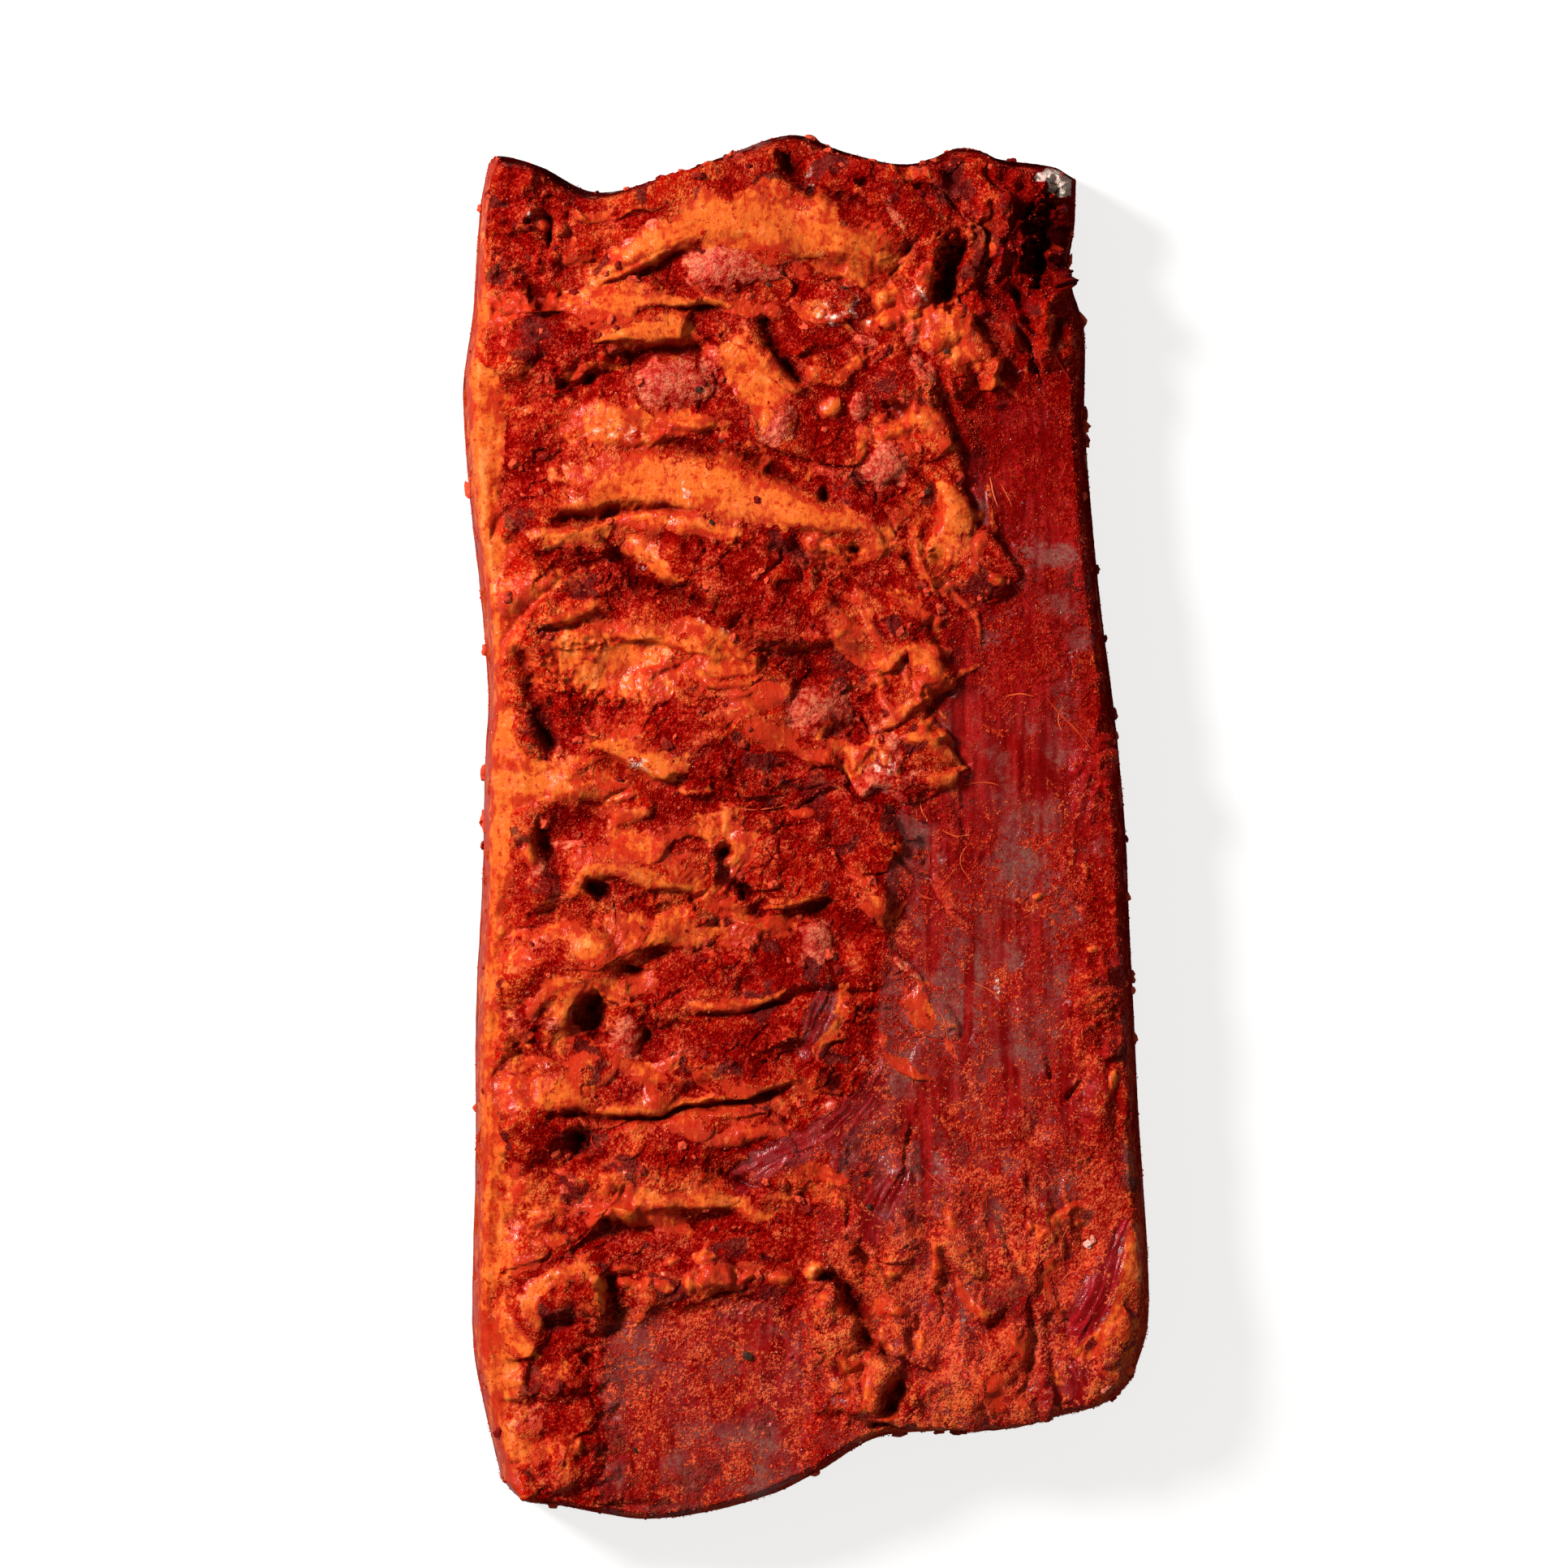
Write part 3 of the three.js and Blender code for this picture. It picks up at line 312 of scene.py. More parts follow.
# The step down to the flank: (y, x, share of the full drop).
STEP = [
    (230, 62, 0.4), (190, 57, 0.4), (165, 52, 0.4), (155, 58, 0.5), (145, 61, 0.6), (139, 52, 0.8),
    (134, 44, 0.9), (128, 45.5, 0.9), (118, 48.5, 0.9), (104, 52, 0.9), (97, 54, 0.8), (92, 58, 0.6),
    (88, 62, 0.5), (83, 67, 0.4), (79, 67, 0.4), (74, 61, 0.45), (69, 54, 0.5), (64, 45, 0.5),
    (58, 41, 0.5), (50, 43, 0.5), (45, 44, 0.5), (35, 38, 0.6), (28, 42, 0.6), (22, 48, 0.6),
    (16, 47, 0.5), (11, 33, 0.5), (6, 29, 0.5), (-6, 30, 0.4), (-14, 24, 0.4), (-25, 24, 0.4),
    (-37, 25, 0.4), (-50, 23, 0.4), (-60, 22, 0.35), (-75, 22, 0.3), (-90, 12, 0.3), (-110, 5, 0.2),
    (-150, 0, 0.1), (-230, 0, 0.1),
]
# Where the smooth fat margin ends: (y, x).
MARGIN = [
    (230, -101), (165, -101.5), (152, -103), (147, -103), (143, -97), (120, -95.5), (105, -97),
    (92, -96.5), (84, -94), (76, -99), (70, -98.5), (65, -96), (45, -94), (32, -92), (23, -88), (19, -80),
    (10, -82), (4, -92), (-12, -94), (-25, -94.5), (-40, -97), (-50, -95.5), (-64, -95.5), (-73, -99),
    (-82, -98), (-92, -96), (-100, -92.5), (-107, -96), (-116, -98), (-122, -93), (-138, -96),
    (-147, -100), (-158, -98), (-166, -93), (-176, -90), (-186, -95), (-196, -90), (-230, -90),
]

# The way the folds run: (x, degrees anticlockwise from across).
FLOW = [(-105, 32), (-75, 25), (-45, 2), (0, -22), (35, -48), (60, -78), (110, -84)]

# Small ridges, slivers and clefts, drawn at random inside boxes: (kind, seed, count,
# (x from, y from, x to, y to), (shortest, longest), (narrowest, widest half), (lowest, highest)).
SMALL_FOLDS = [
    ("crust", 15, 46, (-90, -130, 42, 205), (20, 46), (3.6, 6.8), (1.8, 4.2)),
    ("cleft", 16, 30, (-90, -130, 42, 205), (16, 40), (2.4, 4.2), (2, 4.5)),
    ("fat", 17, 36, (-92, -128, 20, 200), (18, 46), (2.8, 5.5), (1.2, 2.6)),
    ("crust", 18, 30, (18, -190, 100, -112), (14, 34), (2.4, 4.6), (1.2, 2.8)),
    ("fat", 19, 5, (24, -186, 98, -114), (10, 26), (1.4, 2.8), (0.8, 1.8)),
    ("crust", 1, 170, (-94, -150, 45, 212), (8, 26), (1.2, 3), (0.8, 2.2)),
    ("fat", 2, 70, (-92, -140, 50, 200), (8, 26), (1.2, 2.6), (0.8, 1.8)),
    ("pink", 3, 10, (-92, -140, 50, 205), (6, 16), (1, 2.4), (0.6, 1.6)),
    ("cleft", 4, 150, (-94, -150, 50, 214), (6, 22), (0.5, 1.3), (1, 3)),
    ("crust", 5, 70, (18, -192, 100, -112), (8, 26), (0.9, 2.2), (0.4, 1.3)),
    ("fat", 6, 10, (22, -188, 98, -114), (6, 18), (0.7, 1.6), (0.4, 1.2)),
    ("cleft", 7, 40, (18, -192, 100, -112), (8, 24), (0.5, 1), (0.5, 1.5)),
    ("crust", 8, 50, (44, 140, 86, 210), (8, 26), (1.6, 3.4), (1.6, 4)),
    ("cleft", 9, 40, (40, 140, 86, 212), (6, 22), (0.8, 2.2), (2, 5.5)),
    ("fat", 10, 12, (46, 136, 86, 200), (5, 16), (0.7, 1.6), (0.6, 1.8)),
    ("crust", 11, 30, (-94, -212, -62, -150), (6, 20), (1.4, 3.4), (0.5, 1.3)),
    ("cleft", 12, 18, (-96, -212, -62, -150), (5, 16), (0.5, 1.1), (0.6, 1.5)),
    ("crust", 13, 40, (84, -108, 100, 60), (4, 14), (0.8, 1.8), (0.6, 1.6)),
    ("lean", 14, 40, (26, -110, 96, 60), (8, 30), (0.8, 2.2), (0.2, 0.6)),
]
# Clusters of small lumps: (tissue, seed, count, x, y, half length, half width, radii).
CLUSTERS = [
    ("fat", 21, 18, 33, 165, 15, 11, (1.2, 3)), ("pink", 22, 8, 30, 150, 16, 9, (1.6, 3.4)),
    ("fat", 23, 16, 30, 125, 15, 8, (1.2, 2.8)), ("fat", 24, 22, 33, 40, 15, 22, (1.2, 2.8)),
    ("pink", 25, 10, 26, 22, 9, 12, (1.6, 3.4)), ("crust", 26, 60, 16, -164, 16, 26, (1.4, 3.6)),
    ("fat", 27, 16, 18, -166, 16, 26, (1, 2.2)), ("fat", 28, 16, -38, -140, 22, 7, (1.2, 2.6)),
    ("fat", 29, 16, -58, -118, 14, 8, (1.2, 2.8)), ("crust", 30, 40, -72, -147, 14, 11, (1.2, 3)),
    ("crust", 31, 50, -88, 180, 12, 26, (1.2, 3.2)), ("crust", 32, 40, -72, 148, 14, 16, (1, 2.6)),
    ("crust", 33, 40, 72, 182, 12, 28, (1.4, 3.6)), ("crust", 34, 26, 93, 22, 5, 14, (1, 2.2)),
    ("crust", 35, 36, 92, -58, 8, 20, (1, 2.6)), ("crust", 36, 40, 54, -180, 30, 8, (1.2, 3)),
    ("crust", 37, 50, -16, 84, 30, 20, (1.6, 4)), ("fat", 38, 12, 52, 86, 12, 20, (1, 2.4)),
    ("crust", 39, 30, -80, 60, 12, 40, (1.2, 2.8)), ("fat", 40, 8, 82, -128, 12, 14, (0.9, 2)),
]
# Where the fat shows through the rub: (x, y, half length, half width, turn, share).
FAT_AREAS = [
    (-20, 190, 42, 10, 6, 0.7), (-70, 188, 22, 9, 20, 0.3), (-62, 168, 20, 6, 5, 0.65),
    (-46, 156.5, 18, 6, 3, 0.7), (-16, 142, 18, 7, -60, 0.75), (-64, 126, 12, 7, 0, 0.75),
    (-40, 130, 22, 6, -8, 0.5), (-88, 135, 9, 14, 0, 0.4), (-38, 108, 40, 11, -3, 0.65),
    (-45, 97, 24, 6, 0, 0.6), (20, 176, 26, 8, -30, 0.42), (30, 160, 20, 10, -20, 0.42),
    (46, 152, 12, 9, -40, 0.65), (-5, 120, 20, 8, -20, 0.3), (30, 125, 14, 6, 0, 0.42),
    (38, 101, 14, 9, 0, 0.38), (64, 150, 8, 12, 30, 0.32), (80, 148, 6, 9, 0, 0.3),
    (-76, 91, 12, 4, 0, 0.7), (-52, 87, 9, 6, -40, 0.6), (-72, 68, 9, 4, 15, 0.7),
    (-60, 52, 27, 11, -3, 1), (-30, 58, 18, 6, -30, 0.8), (-82, 15, 22, 9, 5, 0.7),
    (-52, 21, 16, 7, -20, 0.9), (-25, -3, 13, 8, -35, 0.75), (-60, 2, 18, 5, -30, 0.45),
    (-86, -2, 7, 12, 20, 0.45), (-10, -14, 10, 5, -10, 0.4), (-62, -14, 16, 4, -10, 0.5),
    (28, 52, 10, 8, -30, 0.34), (30, 36, 8, 5, 35, 0.34), (40, 24, 10, 6, -20, 0.26),
    (40, 80, 12, 12, 0, 0.3), (10, 20, 14, 8, 0, 0.28), (-42, -32, 25, 6, -12, 0.85),
    (-72, -30, 12, 8, -20, 0.42), (-80, -62, 6, 16, 0, 0.5), (-62, -48, 10, 4, -20, 0.6),
    (-78, -83, 10, 6, -15, 0.85), (-92, -60, 5, 50, 0, 0.5), (-40, -87, 36, 5, 5, 0.5),
    (8, -61, 3.5, 12, -25, 0.75), (-28, -57, 14, 4, 0, 0.42), (-70, -110, 24, 12, 0, 0.36),
    (-30, -115, 26, 7, 0, 0.45), (-12, -120, 10, 6, 0, 0.5), (-85, -120, 12, 14, 0, 0.5),
    (-97, -130, 8, 24, 0, 0.7), (-75, -140, 14, 5, 10, 0.4), (-80, -172, 8, 8, 0, 0.4),
    (-92, -190, 9, 18, 0, 0.5), (-76, -198, 8, 10, 0, 0.5), (-38, -142, 12, 7, 0, 0.42),
    (-8, -140, 10, 7, 0, 0.4), (28, -145, 14, 9, 0, 0.24), (30, -165, 6, 8, 0, 0.35),
    (14, -172, 10, 14, 0, 0.24), (45, -178, 18, 8, 0, 0.26), (52, -150, 8, 14, 10, 0.24),
    (72, -130, 5, 24, 8, 0.3), (85, -128, 12, 8, 0, 0.26), (90, -166, 14, 4, 30, 0.7),
    (75, -178, 8, 8, 0, 0.24), (103, -134, 2.5, 12, 5, 0.8), (-94, 60, 7, 40, 0, 0.4),
]
# Where the thin grey skin of the lean shows: (x, y, half length, half width, turn, share).
MEMBRANE_PLACES = [
    (56, 98, 4, 11, 0, 0.8), (78, 86, 11, 6, 0, 0.9), (80, 70, 7, 6, 0, 0.9), (60, 60, 8, 9, 0, 0.7),
    (86, 58, 5, 7, 0, 0.7), (45, 29, 4, 6, 0, 0.7), (70, 32, 3, 5, 0, 0.6), (79, 22, 6, 8, 0, 0.7),
    (62, 20, 5, 9, 0, 0.5), (36, -1, 7, 7, 0, 0.9), (40, -12, 5, 7, 0, 0.9), (76, 3, 12, 9, 0, 0.6),
    (68, -12, 9, 8, 0, 0.9), (92, -6, 4, 7, 0, 0.6), (84, -30, 8, 7, 0, 0.8), (35, -30, 5, 8, 0, 0.7),
    (54, -42, 3, 10, 0, 0.9), (66, -42, 5, 9, 0, 0.9), (80, -48, 6, 8, 0, 0.7), (48, -62, 8, 8, 0, 0.8),
    (30, -78, 8, 10, 20, 0.7), (66, -70, 8, 10, 0, 0.6), (38, -106, 6, 13, -15, 0.9),
    (64, -105, 5, 6, 0, 0.8), (60, -122, 6, 9, 0, 0.7), (25, -122, 9, 5, 0, 0.9),
    (8, -104, 10, 7, 0, 0.8), (14, -133, 3, 7, 0, 0.6), (50, -153, 1.2, 9, 0, 0.8),
    (101, -106, 2.5, 14, 5, 0.9), (-24, -171, 8, 9, 0, 0.8), (-22, -192, 18, 5, -8, 0.8),
    (-42, -202, 9, 5, 0, 0.7), (-12, -160, 8, 4, 0, 0.5), (-62, -180, 5, 9, 0, 0.5),
    (-62, -204, 7, 6, 0, 0.6), (90, -146, 4, 8, -20, 0.7), (84, -178, 3, 7, 0, 0.6),
]
# Pale places, where spongy tissue or sinew shows, and small painted glints on fat and lumps: (x, y, half
# length, half width, turn, share).
PALE_AND_GLINT_PLACES = [
    (80, 205.5, 8.5, 6, -30, 1), (0.5, 204, 2.2, 5, 0, 0.24), (-38.5, 108.5, 1.3, 7, 25, 0.2),
    (-68, 175, 8, 6, 20, 0.12), (27, 22, 5, 6, 0, 0.2), (-87, 193, 3, 4.5, 40, 0.25),
    (12, 163, 9, 7, -20, 0.22), (-50, 86, 2, 6, -35, 0.18), (33, -47, 1.2, 8, 0, 0.2),
    (60, -52, 1.2, 8, 0, 0.2), (-60, 126, 8, 5, 0, 0.2), (-52, 20, 9, 4, -20, 0.2),
    (35, 168, 5, 5, 0, 0.2), (18, -76, 8, 6, 0, 0.12), (-27, 64, 8, 2, -20, 0.18),
]
# Dark, dried places in the rub: (x, y, half length, half width, turn).
DRIED_PLACES = [
    (-86, 156, 8, 12, 0), (-6, 86, 7, 4, -20), (6, 92, 5, 4, 0), (-84, 30, 6, 9, 20), (-84, -18, 7, 8, 0),
    (-92, -64, 4, 20, 0), (-78, -156, 9, 6, 0), (36, 134, 9, 6, -40), (58, 186, 8, 16, 0),
    (-14, 44, 9, 7, 0), (10, 52, 8, 6, 0), (-70, -98, 10, 6, 0), (36, -132, 8, 10, 0), (2, 12, 8, 10, 0),
    (-92, 98, 6, 8, 0), (-60, -196, 8, 8, 0), (-12, -148, 14, 6, 0), (62, -150, 10, 14, 0),
    (24, 140, 8, 6, 0), (44, 200, 10, 6, 0), (78, -120, 8, 12, 0), (-30, -30, 8, 5, 0),
    (44, -100, 8, 6, 0), (-86, -176, 6, 10, 0), (14, 108, 8, 6, 0),
]

# Loose crumbs that show in the outline: (x, y, radius).
EDGE_CRUMBS = [
    (-107, 107, 2.6), (-103.5, 56, 2), (-103, 17, 2), (-103.6, 2, 2.2), (-102.8, -6, 1.6),
    (-105.8, -90, 1.6), (66, 212.6, 1.6), (84.5, 181, 1.6), (88, 161, 1.8), (89, 132, 1.8),
    (88.5, 127, 2.6), (90, 123.5, 1.8), (92.5, 82, 1.6), (97.5, 36, 1.8), (98.5, 29, 1.6),
    (104, -48, 2.2), (103.5, -52, 1.8), (104, -67, 1.8), (107.5, -150, 1.6), (102, -172, 1.8),
    (97, -181, 1.6), (48, -191.5, 2), (42, -191.6, 1.6), (30, -192.5, 1.8), (3, -205, 1.6),
]
# Thin sinews that lie on the meat: (radius, [(x, y), ...]).
SINEWS = [
    (0.30, [(58, 88), (63, 80), (69, 72), (74, 65)]), (0.28, [(62, 41), (67, 42), (73, 41)]),
    (0.35, [(74, 43), (80, 36), (86, 30), (91, 23)]), (0.30, [(70, 141), (74, 137), (79, 131)]),
    (0.28, [(34, -19), (37, -22), (41, -23)]), (0.26, [(44, -74), (49, -76), (56, -75)]),
    (0.34, [(77, 153), (79, 148), (83, 142), (87, 136)]), (0.4, [(80, -144), (83, -141), (87, -140)]),
    (0.26, [(48, 13), (56, 14), (62, 13)]), (0.3, [(58, 112), (59, 106), (61, 100)]),
    (0.26, [(40, 0), (48, -3), (53, -2)]), (0.3, [(24, -62), (34, -66), (46, -68), (58, -70)]),
    (0.28, [(-12, -72), (-4, -70), (6, -73)]), (0.3, [(-30, 8.6), (-20, 5.6), (-10, 6.2), (0, 8)]),
    (0.3, [(-66, -95), (-68, -99), (-65, -103)]),
]
# Flakes of salt and bits of herb: (x, y, radius).
SALT_FLAKES = [(89, -132, 1.6), (90.5, -130.2, 1.1), (94, -178, 1.3), (95, -176.8, 0.8), (17, -194, 0.9)]
HERB_BITS = [(-18.5, -167, 1.5), (-54, -197, 0.9), (-34, 138, 1.0), (38, 106, 1.1), (-27, 122, 0.7),
             (-12, 171, 0.8), (12, 170, 0.8), (44, 150, 0.8), (-30, 96, 0.7), (20, -120, 0.7)]


# ---- What a user may change ----


def colour_prop(name, description, default):
    return FloatVectorProperty(
        name=name, description=description, default=default, size=3, subtype="COLOR",
        min=0.0, max=1.0,
    )


def number_prop(name, description, default, unit="NONE"):
    if isinstance(default, int):
        return IntProperty(name=name, description=description, default=default)
    return FloatProperty(name=name, description=description, default=default, unit=unit)


class BellySizes(PropertyGroup):
    rib_level: number_prop("Rib level", "Thickness of the slab under the rib marks, in mm", 38.0)
    flank_drop: number_prop("Flank drop", "How far the bare flank lies below the rib side, in mm", 5.5)
    panel_drop: number_prop("Front panel drop", "How far the smooth front end lies lower, in mm", 3.0)
    margin_drop: number_prop("Margin drop", "How far the fat margin slopes down, in mm", 3.0)
    rind_edge: number_prop("Rind edge", "Height of the widest line of the side, in mm", 2.5)
    shoulder: number_prop("Shoulder", "1 is a straight side, 2 a round shoulder", 1.9)
    cells_across: number_prop("Cells across", "How finely the face is divided across", 400)
    cells_along: number_prop("Cells along", "How finely the face is divided along", 850)
    side_cells: number_prop("Side cells", "How finely each side is divided", 44)
    bands: number_prop("Bands", "How many pieces the meat is made in, end to end", 6)
    grains: number_prop("Grains", "How many loose grains of the rub lie on the meat", 42000)
    crumbs: number_prop("Crumbs", "How many crumbs of the rub there are", 560)


class BellyColours(PropertyGroup):
    crust_dark: colour_prop("Crust, dark", "Rub in the shade", (0.15, 0.0009, 0.0006))
    crust_mid: colour_prop("Crust", "Rub between its grains", (0.29, 0.0044, 0.0024))
    crust_light: colour_prop("Crust, light", "Grains of the rub", (0.56, 0.054, 0.020))
    grain: colour_prop("Grain", "Loose grains of the rub", (0.50, 0.034, 0.011))
    dried: colour_prop("Dried", "Places where the rub has dried dark", (0.085, 0.0085, 0.0075))
    stain_dark: colour_prop("Stained crust", "Rub over fat, dark", (0.36, 0.0085, 0.0025))
    stain_light: colour_prop("Stained crust, light", "Rub over fat, light", (0.60, 0.082, 0.020))
    lean_dark: colour_prop("Lean, dark", "Lean meat in the dark streaks", (0.125, 0.0010, 0.0010))
    lean_light: colour_prop("Lean, light", "Lean meat in the light streaks", (0.30, 0.0088, 0.0078))
    membrane: colour_prop("Membrane", "Thin grey skin over the lean", (0.180, 0.046, 0.037))
    fat_dark: colour_prop("Fat, stained", "Fat that the marinade has stained", (0.39, 0.022, 0.006))
    fat_light: colour_prop("Fat", "Fat under the marinade", (0.60, 0.103, 0.014))
    fat_pale: colour_prop("Fat, pale", "The palest streaks of the fat", (0.74, 0.20, 0.055))
    # The skin's pink is partly painted sheen.
    pink: colour_prop("Skin", "Thin skin over the swellings", (0.54, 0.098, 0.052))
    # The pale colour is also used for small painted glints.
    pale: colour_prop("Pale", "Sinew and bare sponge", (0.68, 0.52, 0.44))
    rind: colour_prop("Rind", "Skin on the underside", (0.34, 0.045, 0.014))
    herb: colour_prop("Herb", "Bits of dried herb", (0.035, 0.012, 0.006))
    salt: colour_prop("Salt", "Flakes of salt", (0.58, 0.38, 0.30))


class StageSettings(PropertyGroup):
    picture_width: number_prop("Picture width", "Width of floor that the picture shows", 0.5023, "LENGTH")
    distance: number_prop("Camera height", "Height of the camera above the floor", 2.6, "LENGTH")
    key_power: number_prop("Key light", "Power of the main light, in W", 78.0)
    fill: number_prop("Fill", "Strength of the light from all round", 0.26)


# ---- Noise ----


# Odd numbers that stir the bits of a lattice point: one for each axis, one for the seed,
# and the two (shift, factor) rounds that follow.
AXIS_FACTORS = (374761393, 668265263, 2147483647)
SEED_FACTOR = 974634777
ROUNDS = ((13, 1274126177), (15, 2246822519))
LAST_SHIFT = 16
TEN_BITS = 1023
NOISE_GAIN = 1.7
OCTAVE_GAIN = 0.55


def lattice_hash(points, seed):
    """A whole number for each lattice point, the same in each run."""
    h = np.uint32((seed * SEED_FACTOR) & 0xFFFFFFFF)
    for axis, factor in enumerate(AXIS_FACTORS):
        h = h + points[:, axis].astype(np.uint32) * np.uint32(factor)
    for shift, factor in ROUNDS:
        h = (h ^ (h >> np.uint32(shift))) * np.uint32(factor)
    return h ^ (h >> np.uint32(LAST_SHIFT))


def smooth_noise(points, length, seed):
    """Gradient noise from about -1 to 1, with bumps about length across."""
    p = points / length
    base = np.floor(p).astype(np.int64)
    f = (p - base).astype(np.float32)
    fade = f * f * f * (f * (f * 6 - 15) + 10)
    total = np.zeros(len(p), np.float32)
    for corner in np.ndindex(2, 2, 2):
        h = lattice_hash(base + corner, seed)
        weight, value = 1, 0
        for axis, step in enumerate(corner):
            weight = weight * (fade[:, axis] if step else 1 - fade[:, axis])
            slope = (h >> 10 * axis & TEN_BITS).astype(np.float32) / (TEN_BITS / 2) - 1
            value = value + slope * (f[:, axis] - step)
        total += weight * value
    return total * NOISE_GAIN


def rough_noise(points, length, octaves, seed):
    """Smooth noise with finer and weaker noise added to it."""
    total = np.zeros(len(points), np.float32)
    for k in range(octaves):
        total += smooth_noise(points, length / 2**k, seed + 17 * k) * OCTAVE_GAIN**k
    return total


def cell_noise(points, length, seed):
    """Distances to the nearest and next nearest of scattered points, and the nearest one's number."""
    p = points / length
    base = np.floor(p).astype(np.int64)
    first = np.full(len(p), 9.0, np.float32)
    second = np.full(len(p), 9.0, np.float32)
    number = np.zeros(len(p), np.float32)
    for step in np.ndindex(3, 3, 3):
        cell = base + step - 1
        h = lattice_hash(cell, seed)
        spot = np.stack([(h >> s & TEN_BITS).astype(np.float32) / TEN_BITS for s in (0, 10, 20)], 1)
        gap = np.sqrt(((cell + spot - p) ** 2).sum(1)).astype(np.float32)
        near = gap < first
        second = np.where(near, first, np.minimum(second, gap))
        number = np.where(near, (h >> 5 & 255).astype(np.float32) / 255, number)
        first = np.where(near, gap, first)
    return first, second, number


def ramp(low, high, value):
    """A soft ramp from 0 at low to 1 at high; low may be the larger one."""
    t = np.clip((value - low) / (high - low), 0, 1)
    return t * t * (3 - 2 * t)


def at_least(values, pick, floor):
    """Raises the picked values to the floor where they lie below it."""
    values[pick] = np.maximum(values[pick], floor)


# ---- The meat's surface, in millimetres ----

# How far each side leans in between its widest line and the top, and the slab's mean
# width and length, which spread the rows of the net.
FLARE = {"left": 6.0, "right": 6.0, "back": 6.5, "front": 4.5}
SPAN_ACROSS = 208.0
SPAN_ALONG = 425.0
# Relief above this height is eased off, so that it rises by less than this much more.
EASE_FROM = 40.0
EASE_ROOM = 5.6
CURVE_STEPS = 24


def curve_through(points, steps):
    """Points along a Catmull-Rom curve through the given ones."""
    p = np.array(points, float)
    p = np.vstack([2 * p[0] - p[1], p, 2 * p[-1] - p[-2]])
    t = np.linspace(0, 1, steps, endpoint=False)[:, None]
    runs = [
        0.5 * (2 * b + (c - a) * t + (2 * a - 5 * b + 4 * c - d) * t**2 + (3 * b - a - 3 * c + d) * t**3)
        for a, b, c, d in zip(p[:-3], p[1:-2], p[2:-1], p[3:])
    ]
    return np.vstack(runs + [p[-2:-1]])


class EdgeCurve:
    """One edge of the slab; at(shares) gives points at shares of its length."""

    def __init__(self, points):
        self.points = curve_through(points, CURVE_STEPS)
        steps = np.hypot(*np.diff(self.points, axis=0).T)
        self.share = np.concatenate([[0], np.cumsum(steps)]) / steps.sum()

    def at(self, share):
        return np.stack([np.interp(share, self.share, self.points[:, k]) for k in (0, 1)], -1)


class Outline:
    """The slab's outline, seen from above: four edge curves, and a ring of all their points."""

    def __init__(self):
        self.edge = {name: EdgeCurve(points) for name, points in EDGES.items()}
        self.ring = np.vstack([
            self.edge["front"].points[:-1], self.edge["right"].points[:-1],
            self.edge["back"].points[:0:-1], self.edge["left"].points[:0:-1],
        ])
        self.middle = (self.ring.min(0) + self.ring.max(0)) / 2

    def inside(self, u, v):
        """A Coons patch: points of the inside at shares u across and v along."""
        front, back = self.edge["front"].at(u), self.edge["back"].at(u)
        left, right = self.edge["left"].at(v), self.edge["right"].at(v)
        a, b = self.edge["front"].at(0), self.edge["front"].at(1)
        c, d = self.edge["back"].at(0), self.edge["back"].at(1)
        u, v = u[..., None], v[..., None]
        corners = (a * (1 - u) + b * u) * (1 - v) + (c * (1 - u) + d * u) * v
        return front * (1 - v) + back * v + left * (1 - u) + right * u - corners

    def nearest(self, points):
        """Distance of each point to the ring, and the outward direction there."""
        start, end = self.ring, np.roll(self.ring, -1, 0)
        gap = np.full(len(points), 1e9)
        out = np.zeros((len(points), 2))
        for part in np.array_split(np.arange(len(points)), max(1, len(points) // 4000)):
            p = points[part]
            pick = ((p[:, None, :] - start[None]) ** 2).sum(2).argmin(1)
            for shift in (-1, 0):
                k = (pick + shift) % len(start)
                along = end[k] - start[k]
                t = ((p - start[k]) * along).sum(1) / (along**2).sum(1)
                foot = start[k] + along * np.clip(t, 0, 1)[:, None]
                distance = np.hypot(*(p - foot).T)
                side = np.stack([along[:, 1], -along[:, 0]], 1)
                side /= np.linalg.norm(side, axis=1)[:, None]
                better = distance < gap[part]
                gap[part] = np.where(better, distance, gap[part])
                out[part] = np.where(better[:, None], side, out[part])
        return gap, out


def side_insets(flare, shoulder, cells):
    """Insets of the rows on a side, evenly spread over its rounded profile."""
    angle = np.linspace(0, math.pi / 2, cells + 1)
    return flare * (1 - np.cos(angle) ** (2 / shoulder))


def row_shares(first_flare, last_flare, span, cells, side_cells, shoulder):
    """Where the rows of the net lie, from 0 at one edge to 1 at the other."""
    first = side_insets(first_flare, shoulder, side_cells) / span
    last = 1 - side_insets(last_flare, shoulder, side_cells)[::-1] / span
    return np.concatenate([first, np.linspace(first[-1], last[0], cells + 1)[1:-1], last])


TISSUES = ("fat", "lean", "pink", "pale")


